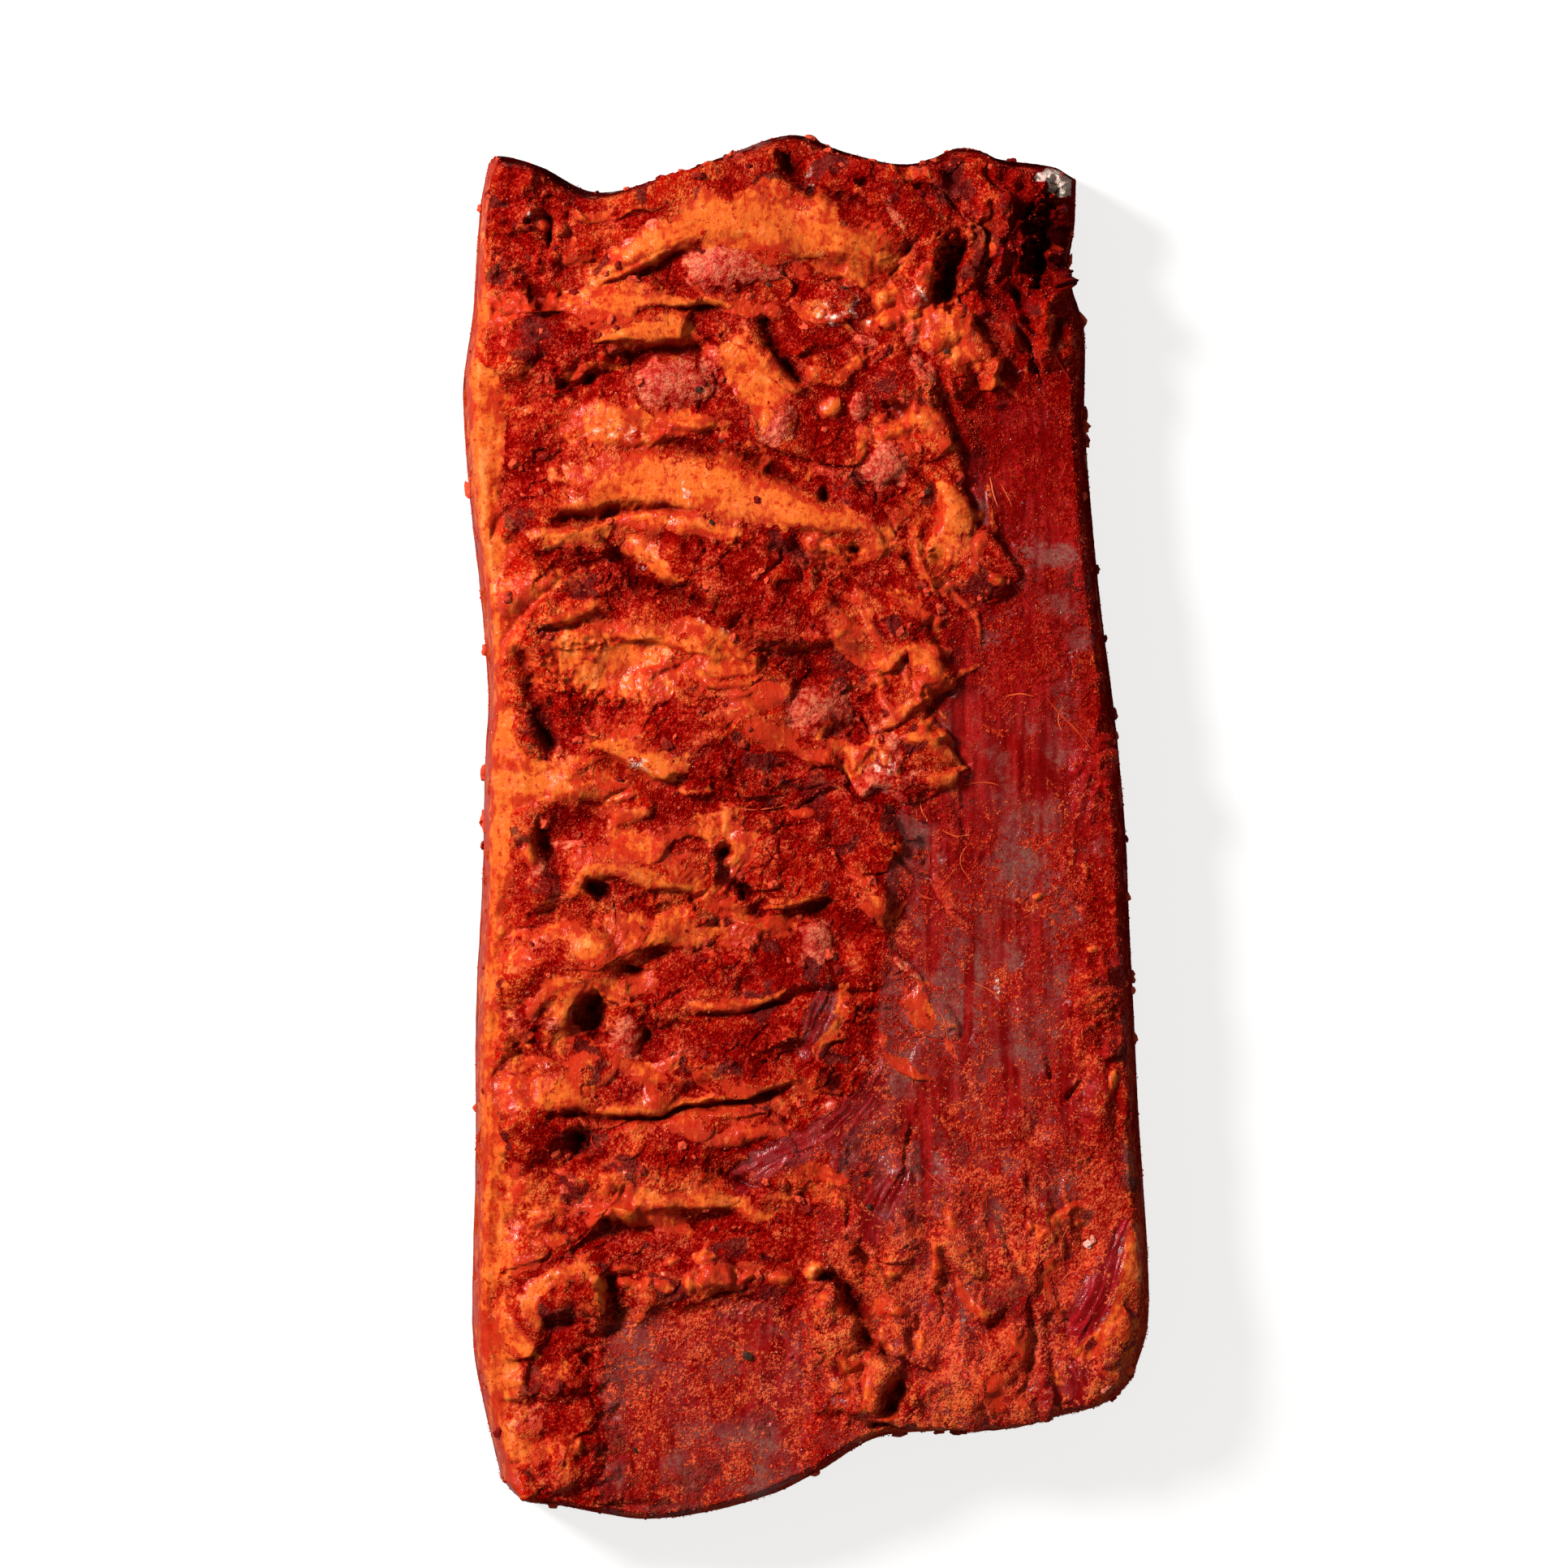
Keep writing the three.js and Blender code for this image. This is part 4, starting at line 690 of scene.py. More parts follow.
class Meat:
    """The slab's skin as a net of points, with what each point is made of."""

    def __init__(self, sizes):
        self.sizes = sizes
        self.outline = Outline()
        self.coarse = 1
        sides = sizes.side_cells // self.coarse
        across = row_shares(FLARE["left"], FLARE["right"], SPAN_ACROSS,
                            sizes.cells_across // self.coarse, sides, sizes.shoulder)
        along = row_shares(FLARE["front"], FLARE["back"], SPAN_ALONG,
                           sizes.cells_along // self.coarse, sides, sizes.shoulder)
        v, u = np.meshgrid(along, across, indexing="ij")
        self.shape = u.shape
        flat = self.outline.inside(u, v).reshape(-1, 2)
        self.x, self.y = flat[:, 0].copy(), flat[:, 1].copy()
        self.count = len(flat)
        self.flat = np.column_stack([flat, np.zeros(self.count)])
        drift = [1.2 * smooth_noise(self.flat, 12, k) + 0.3 * smooth_noise(self.flat, 3.6, k + 5)
                 for k in (1, 2)]
        self.wx, self.wy = self.x + drift[0], self.y + drift[1]
        self.height = np.zeros(self.count)
        self.shift = np.zeros((self.count, 2))
        self.tissue = {name: np.zeros(self.count) for name in TISSUES}
        self.dark = np.zeros(self.count)
        self.wet = np.zeros(self.count)
        self.fibre = np.full(self.count, 0.5)
        self.clean = np.zeros(self.count)
        self.ragged = (0.6 * smooth_noise(self.flat, 9, 8) + 0.45 * smooth_noise(self.flat, 3.6, 9)
                       + 0.3 * smooth_noise(self.flat, 1.6, 10))
        self._base()
        self._regions()
        self._relief()
        self._small_relief()
        self._grain()
        self._finish()

    # -- broad form --
    def _base(self):
        """Lays the net from the rind's edge over the rounded sides and across the face."""
        s = self.sizes
        # Only points near the outline need their distance to it; the others lie well inside.
        near_edge = np.zeros(self.shape, bool)
        rows = s.side_cells + 6
        near_edge[:rows] = near_edge[-rows:] = near_edge[:, :rows] = near_edge[:, -rows:] = True
        edge = np.nonzero(near_edge.ravel())[0]
        gap = np.full(self.count, 50.0)
        out = np.zeros((self.count, 2))
        gap[edge], out[edge] = self.outline.nearest(np.stack([self.x[edge], self.y[edge]], 1))
        left, right = np.clip(-out[:, 0], 0, 1), np.clip(out[:, 0], 0, 1)
        back, front = np.clip(out[:, 1], 0, 1), np.clip(-out[:, 1], 0, 1)
        flare = (FLARE["left"] * left**2 + FLARE["right"] * right**2 + FLARE["back"] * back**2
                 + FLARE["front"] * front**2)
        flare[flare == 0] = 1
        inward = np.clip(gap / flare, 0, 1)
        self.rise = (1 - (1 - inward) ** s.shoulder) ** (1 / s.shoulder)
        self.out = out
        height = s.rind_edge + (self._level() - s.rind_edge) * self.rise
        self.points = np.stack([self.x, self.y, height], 1)
        self.normal = self._normals(self.points)

    def _level(self):
        """The height of the face before its relief: the flank, panel and margin lie lower."""
        s = self.sizes
        y0, x0, share = (np.array(column, float)[::-1] for column in zip(*STEP))
        self.past_step = self.wx - np.interp(self.y, y0, x0)
        flank = s.flank_drop * np.interp(self.y, y0, share) * ramp(-6, 7, self.past_step)
        across = self.wx + 5 * self.ragged
        self.panel = (ramp(-69, -60, across) * (1 - ramp(-4, 6, across))
                      * ramp(148, 156, 4 * self.ragged - self.wy))
        y1, x1 = (np.array(column, float)[::-1] for column in zip(*MARGIN))
        self.past_margin = self.wx - np.interp(self.y, y1, x1)
        margin = s.margin_drop * (1 - ramp(-99, -88, self.x))
        return s.rib_level - flank - s.panel_drop * self.panel - margin

    def _normals(self, points):
        """The outward direction at each point of the net."""
        grid = points.reshape(self.shape + (3,))
        across, along = np.gradient(grid, axis=1), np.gradient(grid, axis=0)
        n = np.cross(across, along).reshape(-1, 3)
        return n / np.maximum(np.linalg.norm(n, axis=1), 1e-9)[:, None]

    # -- tissues --
    def paint(self, name, amount, where=slice(None)):
        """Turns a share of each point into one tissue, at the cost of the others."""
        for other in TISSUES:
            self.tissue[other][where] *= 1 - amount
        if name in TISSUES:
            self.tissue[name][where] += amount

    def _regions(self):
        """Shares the face out between flank, panel, fat margin and crags, and tones them."""
        flat = self.flat
        self.flank = ramp(-1.5, 3.0, self.past_step)
        self.margin = 1 - ramp(-2, 2, self.past_margin + 2.5 * self.ragged)
        self.crags = (1 - self.flank) * (1 - self.margin) * (1 - self.panel)
        self.crags *= 1 - 0.6 * ramp(122, 150, -self.y) * (1 - ramp(-70, -55, self.x))
        self.paint("lean", self.flank)
        self.paint("lean", self.panel)
        self.paint("fat", self.margin)
        bright = ramp(95, 112, self.y) * (1 - ramp(162, 176, self.y))
        stained = 0.9 * rough_noise(flat * (1, 0.6, 1), 11, 4, 20)
        self.clean += self.margin * (0.57 + 0.1 * bright - 0.27 * ramp(150, 190, -self.y) + stained)
        streaks = smooth_noise(flat * (1, 0.10, 1), 1.8, 21) + 0.8 * smooth_noise(
            flat * (1, 0.14, 1), 5, 22)
        self.fibre = 0.5 + 0.4 * streaks
        patches = 0.30 * rough_noise(flat * (1, 0.6, 1), 24, 3, 23)
        right_edge = ramp(78, 97, self.x) * ramp(-170, -120, self.y)
        back = ramp(105, 150, self.y)
        front = ramp(75, 145, -self.y)
        self.dust = 0.50 + patches + 0.3 * right_edge + 0.35 * back + 0.3 * front * self.flank
        self.dust += (0.12 + 0.5 * patches) * self.panel
        self.glow = (0.5 - 0.36 * ramp(-20, 110, self.y) * self.flank + 0.3 * self.panel
                     + 0.3 * front * ramp(0, 20, self.x) * (1 - self.panel)
                     + 0.14 * ramp(-20, -80, self.y) * self.flank)
        self.grey = np.clip(0.34 + 0.7 * smooth_noise(flat * (1, 0.5, 1), 19, 24)
                            - 0.4 * ramp(50, 110, self.y) + 0.18 * ramp(30, -30, self.y)
                            - 0.5 * right_edge, 0, 1)
        for *place, share in MEMBRANE_PLACES:
            pick, q = self._ellipse(*place)
            inside = share * (1 - ramp(0.0, 1.25, q + 0.7 * self.ragged[pick]))
            self.grey[pick] += inside * (1 - self.grey[pick])
            self.dust[pick] -= 0.42 * inside
        bands = ramp(0.15, 0.6, smooth_noise(flat * (1, 0.1, 1), 6, 25)) * self.flank
        self.dust -= 0.22 * bands
        self.grey *= 1 - 0.7 * bands
        self.side = 1 - ramp(0.75, 0.97, self.rise)

    # -- relief --
    def _near_path(self, path, reach):
        """Points near a path: their numbers, distance in half widths, gap to its right, share
        of its length, direction to its right; and its length."""
        curve = curve_through(path, 5 if len(path) > 3 else 4)
        margin = reach * curve[:, 2].max()
        low, high = curve[:, :2].min(0) - margin, curve[:, :2].max(0) + margin
        pick = np.nonzero((self.wx > low[0]) & (self.wx < high[0]) & (self.wy > low[1])
                          & (self.wy < high[1]))[0]
        if not len(pick):
            return None
        p = np.stack([self.wx[pick], self.wy[pick]], 1)
        start, along = curve[:-1, :2], np.diff(curve[:, :2], axis=0)
        length2 = (along**2).sum(1)
        t = np.clip(((p[:, None] - start) * along).sum(2) / length2, 0, 1)
        away = p[:, None] - start - along * t[..., None]
        width = curve[:-1, 2] * (1 - t) + curve[1:, 2] * t
        q = np.sqrt((away**2).sum(2)) / width
        best = q.argmin(1)
        rows = np.arange(len(pick))
        run = (best + t[rows, best]) / len(along)
        unit = along[best] / np.sqrt(length2[best])[:, None]
        right = np.stack([unit[:, 1], -unit[:, 0]], 1)
        signed = (away[rows, best] * right).sum(1)
        keep = q[rows, best] < reach
        return (pick[keep], q[rows, best][keep], signed[keep], run[keep], right[keep],
                np.sqrt(length2).sum())

    def _settle(self, pick, share):
        """Smooths away the unevenness that would show through a smooth tissue."""
        self.height[pick] += share * (self.calm[pick] - self.height[pick])

    def _fold(self, height, lean, path, tissue=None, amount=1.0, calm=0.0, spread=0.2):
        """A ridge, steep on the side that it leans to; spread is how far the other side runs out."""
        near = self._near_path(path, 3.2 / (1 - spread) ** 0.7)
        if near is None:
            return None
        pick, q, signed, run, right, length = near
        toward = signed if lean >= 0 else -signed
        steep = ramp(-0.5, 0.5, toward)
        flat = q
        q = q * (1 - spread + (0.25 + spread) * steep * min(1.0, abs(lean)))
        ends = ramp(-0.06, 0.16, np.minimum(run, 1 - run))
        body = np.exp(-0.6 * q ** (2.0 + 1.6 * steep)) * ends
        if calm:
            self._settle(pick, calm * (1 - ramp(0.9, 1.7, flat)) * ends)
        self.height[pick] += height * body * self.rise[pick]
        self.shift[pick] += (lean * body * self.rise[pick])[:, None] * right
        if tissue:
            easy = 1 - ramp(0.3, 1.6, flat + self.ragged[pick])
            crisp = 1 - ramp(0.8, 1.3, flat + 0.35 * self.ragged[pick])
            self.paint(tissue, amount * (easy + (crisp - easy) * steep) * np.sqrt(ends), pick)
        return pick, flat, signed, run, length

    def _fat_folds(self):
        """Folds of fat, streaked along their run."""
        for height, lean, path in FAT_FOLDS:
            size = max(w for _, _, w in path)
            pick, q, signed, run, length = self._fold(
                height * min(1.0, 0.55 + 0.1 * size), 0.6 * lean, path, "fat",
                min(1.0, 0.5 + 0.09 * size), calm=min(0.8, 0.15 * size),
                spread=float(np.clip(0.65 - 0.06 * size, 0.15, 0.5)))
            inside = 1 - ramp(0.7, 1.4, q)
            along = np.stack([signed * 0.9, run * length * 0.16, 0 * run], 1)
            across = np.stack([signed * 0.16, run * length, 0 * run], 1)
            streak = 0.6 * smooth_noise(along, 1.2, 31) + 0.6 * smooth_noise(across, 2.2, 32)
            self.fibre[pick] += inside * (0.5 + 0.4 * streak - self.fibre[pick])
            self.height[pick] += 0.15 * inside * streak
            spread = 1 - ramp(0.2, 1.4, q + 0.8 * self.ragged[pick])
            at_least(self.clean, pick, spread * min(0.9, 0.4 + 0.1 * size))

    def _muscle_bands(self):
        """Bare muscle with its fibres along the path."""
        for height, lean, path in MUSCLE_BANDS:
            pick, q, signed, run, length = self._fold(height, lean, path, calm=0.7)
            inside = 1 - ramp(0.5, 1.3, q + 0.5 * self.ragged[pick])
            along = np.stack([signed, run * length * 0.07, 0 * run], 1)
            streak = smooth_noise(along, 0.9, 41) + 0.6 * smooth_noise(along, 2.4, 42)
            self.paint("lean", inside, pick)
            self.fibre[pick] += inside * (0.5 + 0.6 * streak - self.fibre[pick])
            self.height[pick] += 0.28 * inside * streak
            self.dust[pick] += inside * (0.4 - 0.15 * height - self.dust[pick])
            self.grey[pick] *= 1 - 0.4 * height * inside
            self.wet[pick] += 0.3 * height * inside
            self.crags[pick] *= 1 - 0.7 * inside

    def _furrow(self, depth, path):
        """A cleft along a path, with painted shade at the bottom."""
        near = self._near_path(path, 3.0)
        if near is None:
            return
        pick, q, _, run, *_ = near
        ends = ramp(-0.06, 0.16, np.minimum(run, 1 - run))
        bed = np.exp(-0.55 * q**2) * ends * (1 + 0.5 * self.ragged[pick])
        self.height[pick] -= 0.66 * depth * bed * self.rise[pick]
        # Painted shade at the bottom, more for deeper clefts.
        at_least(self.dark, pick, bed * min(0.75, depth / 10))

    def _ellipse(self, x, y, half_length, half_width, turn):
        """Points around an ellipse, and how far out they lie: 1 is on it."""
        c, s = math.cos(math.radians(turn)), math.sin(math.radians(turn))
        reach = max(half_length, half_width) * 1.6
        pick = np.nonzero((abs(self.wx - x) < reach) & (abs(self.wy - y) < reach))[0]
        dx, dy = self.wx[pick] - x, self.wy[pick] - y
        return pick, np.hypot((dx * c + dy * s) / half_length, (dy * c - dx * s) / half_width)

    def _swellings(self, rows, tissue=None, clean=0.7, calm=0.0):
        """Rounded lumps, of one tissue if it is given."""
        for height, *place in rows:
            pick, q = self._ellipse(*place)
            body = np.clip(1 - q * q, 0, 1) ** 1.1
            if calm:
                self._settle(pick, calm * (1 - ramp(0.7, 1.2, q)))
            self.height[pick] += height * body * self.rise[pick]
            if tissue:
                q = q + (0.7 if tissue == "pink" else 0.35) * self.ragged[pick]
                self.paint(tissue, (1 - ramp(0.5, 1.25, q)) * 0.95, pick)
            if tissue == "fat":
                at_least(self.clean, pick, clean * (1 - ramp(0.4, 1.0, q)))

    def _hollows(self, rows, dark):
        """Hollows or pits; dark is how much painted shade their bottoms get."""
        for depth, *place in rows:
            pick, q = self._ellipse(*place)
            q = q + 0.6 * self.ragged[pick]
            body = np.clip(1 - q * q, 0, 1) ** 1.5
            self.height[pick] -= depth * body * self.rise[pick]
            # Painted shade at the bottom.
            at_least(self.dark, pick, body * dark)

    def _relief(self):
        """Folds, swellings, clefts and pits, from the broad ones to the named ones."""
        x = self.x
        slope = np.tan(np.radians(np.clip(np.interp(np.arange(-110, 111), *zip(*FLOW)), -52, 52)))
        arch = np.interp(x, np.arange(-110, 111), np.cumsum(slope))
        folds = np.stack([self.wx / 2.4, self.wy - arch, 0 * x], 1)
        broad = abs(smooth_noise(folds, 24, 11)) + 0.35 * abs(smooth_noise(folds, 11, 12))
        self.height += self.crags * self.rise * 6.0 * (broad - 0.38)
        self.height += (0.6 + 0.5 * self.crags) * smooth_noise(self.points, 17, 13) * self.rise
        self._swellings(MEAT_SWELLINGS)
        self._hollows(HOLLOWS, 0.0)
        for *place, share in FAT_AREAS:
            pick, q = self._ellipse(*place)
            inside = 1 - ramp(0.3, 1.25, q + 0.9 * self.ragged[pick])
            self.paint("fat", share * inside, pick)
            at_least(self.clean, pick, share * 0.8 * inside)
        for height, lean, path in MEAT_FOLDS:
            self._fold(0.8 * height, 0.6 * lean, path)
        self._small_folds()
        self._clusters()
        self.calm = self._mean_around(self.height, 3.8)
        for *place, share in FAT_AREAS:
            if share > 0.7:
                pick, q = self._ellipse(*place)
                inside = 1 - ramp(0.4, 1.1, q + 0.5 * self.ragged[pick])
                self._settle(pick, 0.9 * inside)
                drips = smooth_noise(self.flat[pick] * (1, 0.3, 1), 2.4, 14)
                self.height[pick] += 0.3 * drips * inside
                self.paint("fat", 0.8 * share * inside, pick)
        self._muscle_bands()
        self._swellings(PINK_SHEEN_SWELLINGS, "pink", calm=0.7)
        self._swellings(FAT_SWELLINGS, "fat", calm=0.7)
        self._fat_folds()
        for depth, path in FURROWS:
            self._furrow(depth, path)
        # The pits get painted shade at their bottoms; the hollows above got none.
        self._hollows(PITS, 0.9)
        self._pale_and_glint_places()

    def _pale_and_glint_places(self):
        """Bare sponge and sinew, and small painted glints; painted shade is lifted where they lie."""
        for *place, share in PALE_AND_GLINT_PLACES:
            pick, q = self._ellipse(*place)
            inside = share * (1 - ramp(0.4, 1.1, q + 0.8 * self.ragged[pick]))
            inside *= ramp(0.5, 0.85, self.rise[pick])
            self.paint("pale", inside, pick)
            self.dark[pick] *= 1 - 0.8 * inside

    def _small_folds(self):
        """Ridges, slivers and clefts drawn at random."""
        for kind, seed, count, box, lengths, widths, heights in SMALL_FOLDS:
            draw = np.random.default_rng(seed)
            for _ in range(count):
                x, y = draw.uniform(box[0], box[2]), draw.uniform(box[1], box[3])
                length, width, height = (draw.uniform(*span) for span in (lengths, widths, heights))
                turn = math.radians(np.interp(x, *zip(*FLOW)) + draw.normal(0, 20))
                bend, lean = draw.normal(0, 0.14) * length, draw.uniform(-0.6, 1.0)
                c, s = math.cos(turn), math.sin(turn)
                spots = [(-0.5, 0, 0.5), (-0.18, bend, 1), (0.2, bend, 0.9), (0.5, 0, 0.4)]
                path = [(x + length * a * c - b * s, y + length * a * s + b * c, width * w)
                        for a, b, w in spots]
                if kind == "cleft":
                    self._furrow(0.8 * height, path)
                    continue
                tissue = kind if kind != "crust" else None
                made = self._fold(0.7 * height, lean * width * 0.5, path, tissue, draw.uniform(0.4, 0.85))
                if made is not None and kind == "fat":
                    pick, q = made[:2]
                    clean = draw.uniform(0.0, 0.45) * (1 - ramp(0.4, 1.3, q))
                    at_least(self.clean, pick, clean)

    def _clusters(self):
        """Groups of small lumps drawn at random."""
        for kind, seed, count, x, y, half_length, half_width, radii in CLUSTERS:
            draw = np.random.default_rng(seed)
            rows = []
            for _ in range(count):
                away, angle = math.sqrt(draw.random()), draw.uniform(0, 2 * math.pi)
                radius = draw.uniform(*radii)
                rows.append((radius * 0.5, x + half_length * away * math.cos(angle),
                             y + half_width * away * math.sin(angle), radius * draw.uniform(1.2, 2.8),
                             radius, draw.uniform(0, 180)))
            self._swellings(rows, kind if kind != "crust" else None, 0.35)

    # -- fine relief --
    def _small_relief(self):
        """Crags and flakes of the crust, with painted shade in its cracks, and crust that covers parts of
        the fat.
        """
        base = self.points + self.normal * self.height[:, None]
        cover = smooth_noise(base, 8, 45) + 0.7 * smooth_noise(base, 3, 46) - 0.7 * self.clean
        cover = ramp(0.05, 0.7, cover) * (1 - 0.45 * self.margin)
        self.tissue["fat"] *= 1 - 0.9 * cover
        self.tissue["pink"] *= 1 - 0.3 * cover
        bare = np.clip(1 - sum(self.tissue.values()), 0, 1)
        ragged = ramp(-0.3, 0.5, smooth_noise(base, 16, 47))
        ridge = 1 - abs(smooth_noise(base, 6, 48)) * 1.7
        flakes = 1 - abs(smooth_noise(base, 2.8, 49)) * 1.7
        self.height += bare * self.rise * (0.25 + 0.75 * ragged) * (0.38 * ridge + 0.2 * flakes - 0.3)
        self.height += 0.25 * cover * self.tissue["fat"]
        bent = base + np.stack([smooth_noise(base, 5, k) for k in (61, 62, 63)], 1) * 1.6
        first, second, number = cell_noise(bent, 7.5, 64)
        broken = bare * self.rise * ramp(-0.25, 0.35, smooth_noise(base, 20, 65))
        crack = broken * (1 - ramp(0.02, 0.14, second - first))
        self.height += broken * (0.8 * (number - 0.5)) - 0.6 * crack
        # Painted shade along the cracks.
        self.dark = np.maximum(self.dark, 0.45 * crack)
        self.bare = bare

    def _grain(self):
        """The grain of each tissue: lumps of rub, fibres, wrinkles and bubbles."""
        t = self.tissue
        base = self.points + self.normal * self.height[:, None]
        first, second, number = cell_noise(base, 2.0, 51)
        lumps = ramp(0.0, 0.5, second - first) * (0.3 + number)
        crumbly = smooth_noise(base, 1.5, 71)
        covered = ramp(0.42, 0.6, self.dust + 0.25 * smooth_noise(base, 4, 52) + 0.2 * crumbly)
        tips = smooth_noise(base, 1.2, 72)
        gritty = 0.3 + 0.7 * ramp(-0.1, 0.45, smooth_noise(base, 13, 53))
        self.height += self.bare * gritty * (0.42 * lumps - 0.2 + 0.3 * crumbly + 0.2 * tips)
        self.height += t["lean"] * (0.10 * (self.fibre - 0.5) + covered * (0.15 + 0.25 * lumps))
        wrinkles = 1 - abs(smooth_noise(base, 3.2, 83)) * 1.6
        self.height += t["fat"] * (0.4 * smooth_noise(base, 7, 81) + 0.08 * crumbly + 0.13 * wrinkles)
        self.height += t["pink"] * (0.14 * crumbly + 0.12 * lumps)
        self.height -= t["pale"] * 0.9 * lumps

    def _finish(self):
        """Lifts the net by its relief, and works out its painted shade, its stain with a painted
        highlight on crests, and its dried places.
        """
        upright = 0.35 + 0.65 * ramp(0.2, 0.8, self.normal[:, 2])
        points = self.points + self.normal * (self.height * upright)[:, None]
        points[:, :2] += self.shift * ramp(0.7, 1.0, self.rise)[:, None]
        inner = self.rise > 0
        self.final = np.where(inner[:, None], points, self.points)
        self.final[:, :2] -= self.outline.middle
        z = self.final[:, 2]
        over = np.maximum(z - EASE_FROM, 0)
        z += EASE_ROOM * (1 - np.exp(-over / EASE_ROOM)) - over
        wide, near = (self._mean_around(z, r) - z for r in (5.7, 1.9))
        top = self.rise > 0.9
        # Painted shade in the broad hollows of the top face, on top of that of clefts, pits and cracks.
        self.dark = np.clip(np.maximum(0.9 * self.dark, 0.6 * ramp(0.6, 3.6, wide) * top), 0, 1)
        # Fat under painted shade shows less clean.
        self.clean *= 1 - 0.8 * self.dark
        # Painted highlight: the crests of the relief are tinted lighter and more orange through the
        # stain.
        crest_highlight = ramp(-0.15, 0.55, -near) * 0.6 + ramp(-0.5, 2.5, -wide) * 0.5
        halo = self._mean_around(self.tissue["fat"], 5)
        self.stain_and_crest_highlight = np.clip(1.5 * halo + 0.6 * crest_highlight - 0.22 + 0.5 * smooth_noise(self.flat, 24, 95)
                             + 0.4 * smooth_noise(self.final, 9, 96), 0, 1)
        self.dried = ramp(0.35, 0.75, rough_noise(self.final, 15, 3, 97) - 0.1)
        for place in DRIED_PLACES:
            pick, q = self._ellipse(*place)
            inside = 1 - ramp(0.2, 1.3, q + 1.1 * self.ragged[pick])
            at_least(self.dried, pick, 0.8 * inside)
        self._side_layers()
        self._pale_and_glint_places()
        self.final_normal = self._normals(self.final)

    def _mean_around(self, values, radius):
        """The mean of the values around each point, out to about the radius."""
        grid = values.reshape(self.shape)
        cell = SPAN_ACROSS / self.sizes.cells_across * self.coarse
        for _ in range(3):
            grid = box_blur(grid, max(1, round(radius / cell)))
        return grid.ravel()

    def _side_layers(self):
        """Layers of fat and lean that the cut sides show, mostly under the rub, and painted shade on the
        sides.
        """
        z = self.final[:, 2] + 7 * rough_noise(self.final * (1, 1, 0.3), 50, 4, 91)
        lean_streak = ramp(13, 14.5, z) * (1 - ramp(19, 20.5, z))
        lean_top = ramp(25, 27, z) * ramp(-0.3, 0.4, self.out[:, 0] + 0.3)
        side = self.side
        left = np.clip(-self.out[:, 0], 0, 1)
        self.paint("fat", side * 0.9)
        self.paint("lean", side * np.maximum(lean_streak, lean_top) * 0.85)
        rub = 0.5 + rough_noise(self.final * (1, 1, 0.6), 12, 4, 92) * 0.9
        rub = ramp(0.2, 0.75, rub + 0.45 - 0.75 * left)
        for name in TISSUES:
            self.tissue[name] *= 1 - side * rub * 0.92
        self.clean = self.clean * (1 - side) + side * 0.35
        # Painted shade on every side: most on the back wall, more on the right and at the ends than on
        # the left, less near the front end.
        away = np.clip(self.out[:, 0] + 0.7 * abs(self.out[:, 1]), 0, 1)
        front = ramp(-120, -165, self.y)
        back = np.clip(self.out[:, 1], 0, 1)
        self.dark = np.maximum(self.dark, side * (0.15 + 0.1 * away + 0.5 * back) * (1 - 0.6 * front))
        # Less gloss on the sides and the fat margin, which the material also darkens a little as painted
        # shade.
        self.dull_and_painted_shade = np.maximum(side, self.margin)

    def spot(self, x, y):
        """The point of the skin above a place, and its outward direction, in millimetres."""
        x, y = x - self.outline.middle[0], y - self.outline.middle[1]
        k = ((self.final[:, 0] - x) ** 2 + (self.final[:, 1] - y) ** 2).argmin()
        return self.final[k], self.final_normal[k]


def box_blur(grid, radius):
    """The mean over a square around each cell; the rim's values go on outside it."""
    for axis in (0, 1):
        padded = np.concatenate([np.repeat(np.take(grid, [0], axis), radius + 1, axis), grid,
                                 np.repeat(np.take(grid, [-1], axis), radius, axis)], axis)
        sums = np.cumsum(padded, axis)
        size = grid.shape[axis]
        upper = np.take(sums, range(2 * radius + 1, 2 * radius + 1 + size), axis)
        lower = np.take(sums, range(0, size), axis)
        grid = (upper - lower) / (2 * radius + 1)
    return grid


@functools.cache
def meat():
    """The slab's skin, worked out once."""
    return Meat(bpy.context.scene.belly_sizes)


# ---- Materials ----


# Tints that a colour is multiplied by, one of them for painted shade, and the colours of painted shade in
# deep clefts and on the sides and margin.
WET_TINT = (1.1, 0.7, 2.0, 1.0)
RED_TINT = (0.95, 0.4, 0.5, 1.0)
ORANGE_TINT = (1.06, 1.6, 1.4, 1.0)
SHADE_TINT = (0.30, 0.06, 0.06, 1.0)
CLEFT_PAINTED_SHADE = (0.008, 0.0004, 0.0004, 1.0)
BLACK = (0.0, 0.0, 0.0, 1.0)
# The sockets of a Mix node that mixes colours.
MIX_SHARE, MIX_A, MIX_B, MIX_RESULT = 0, 6, 7, 2


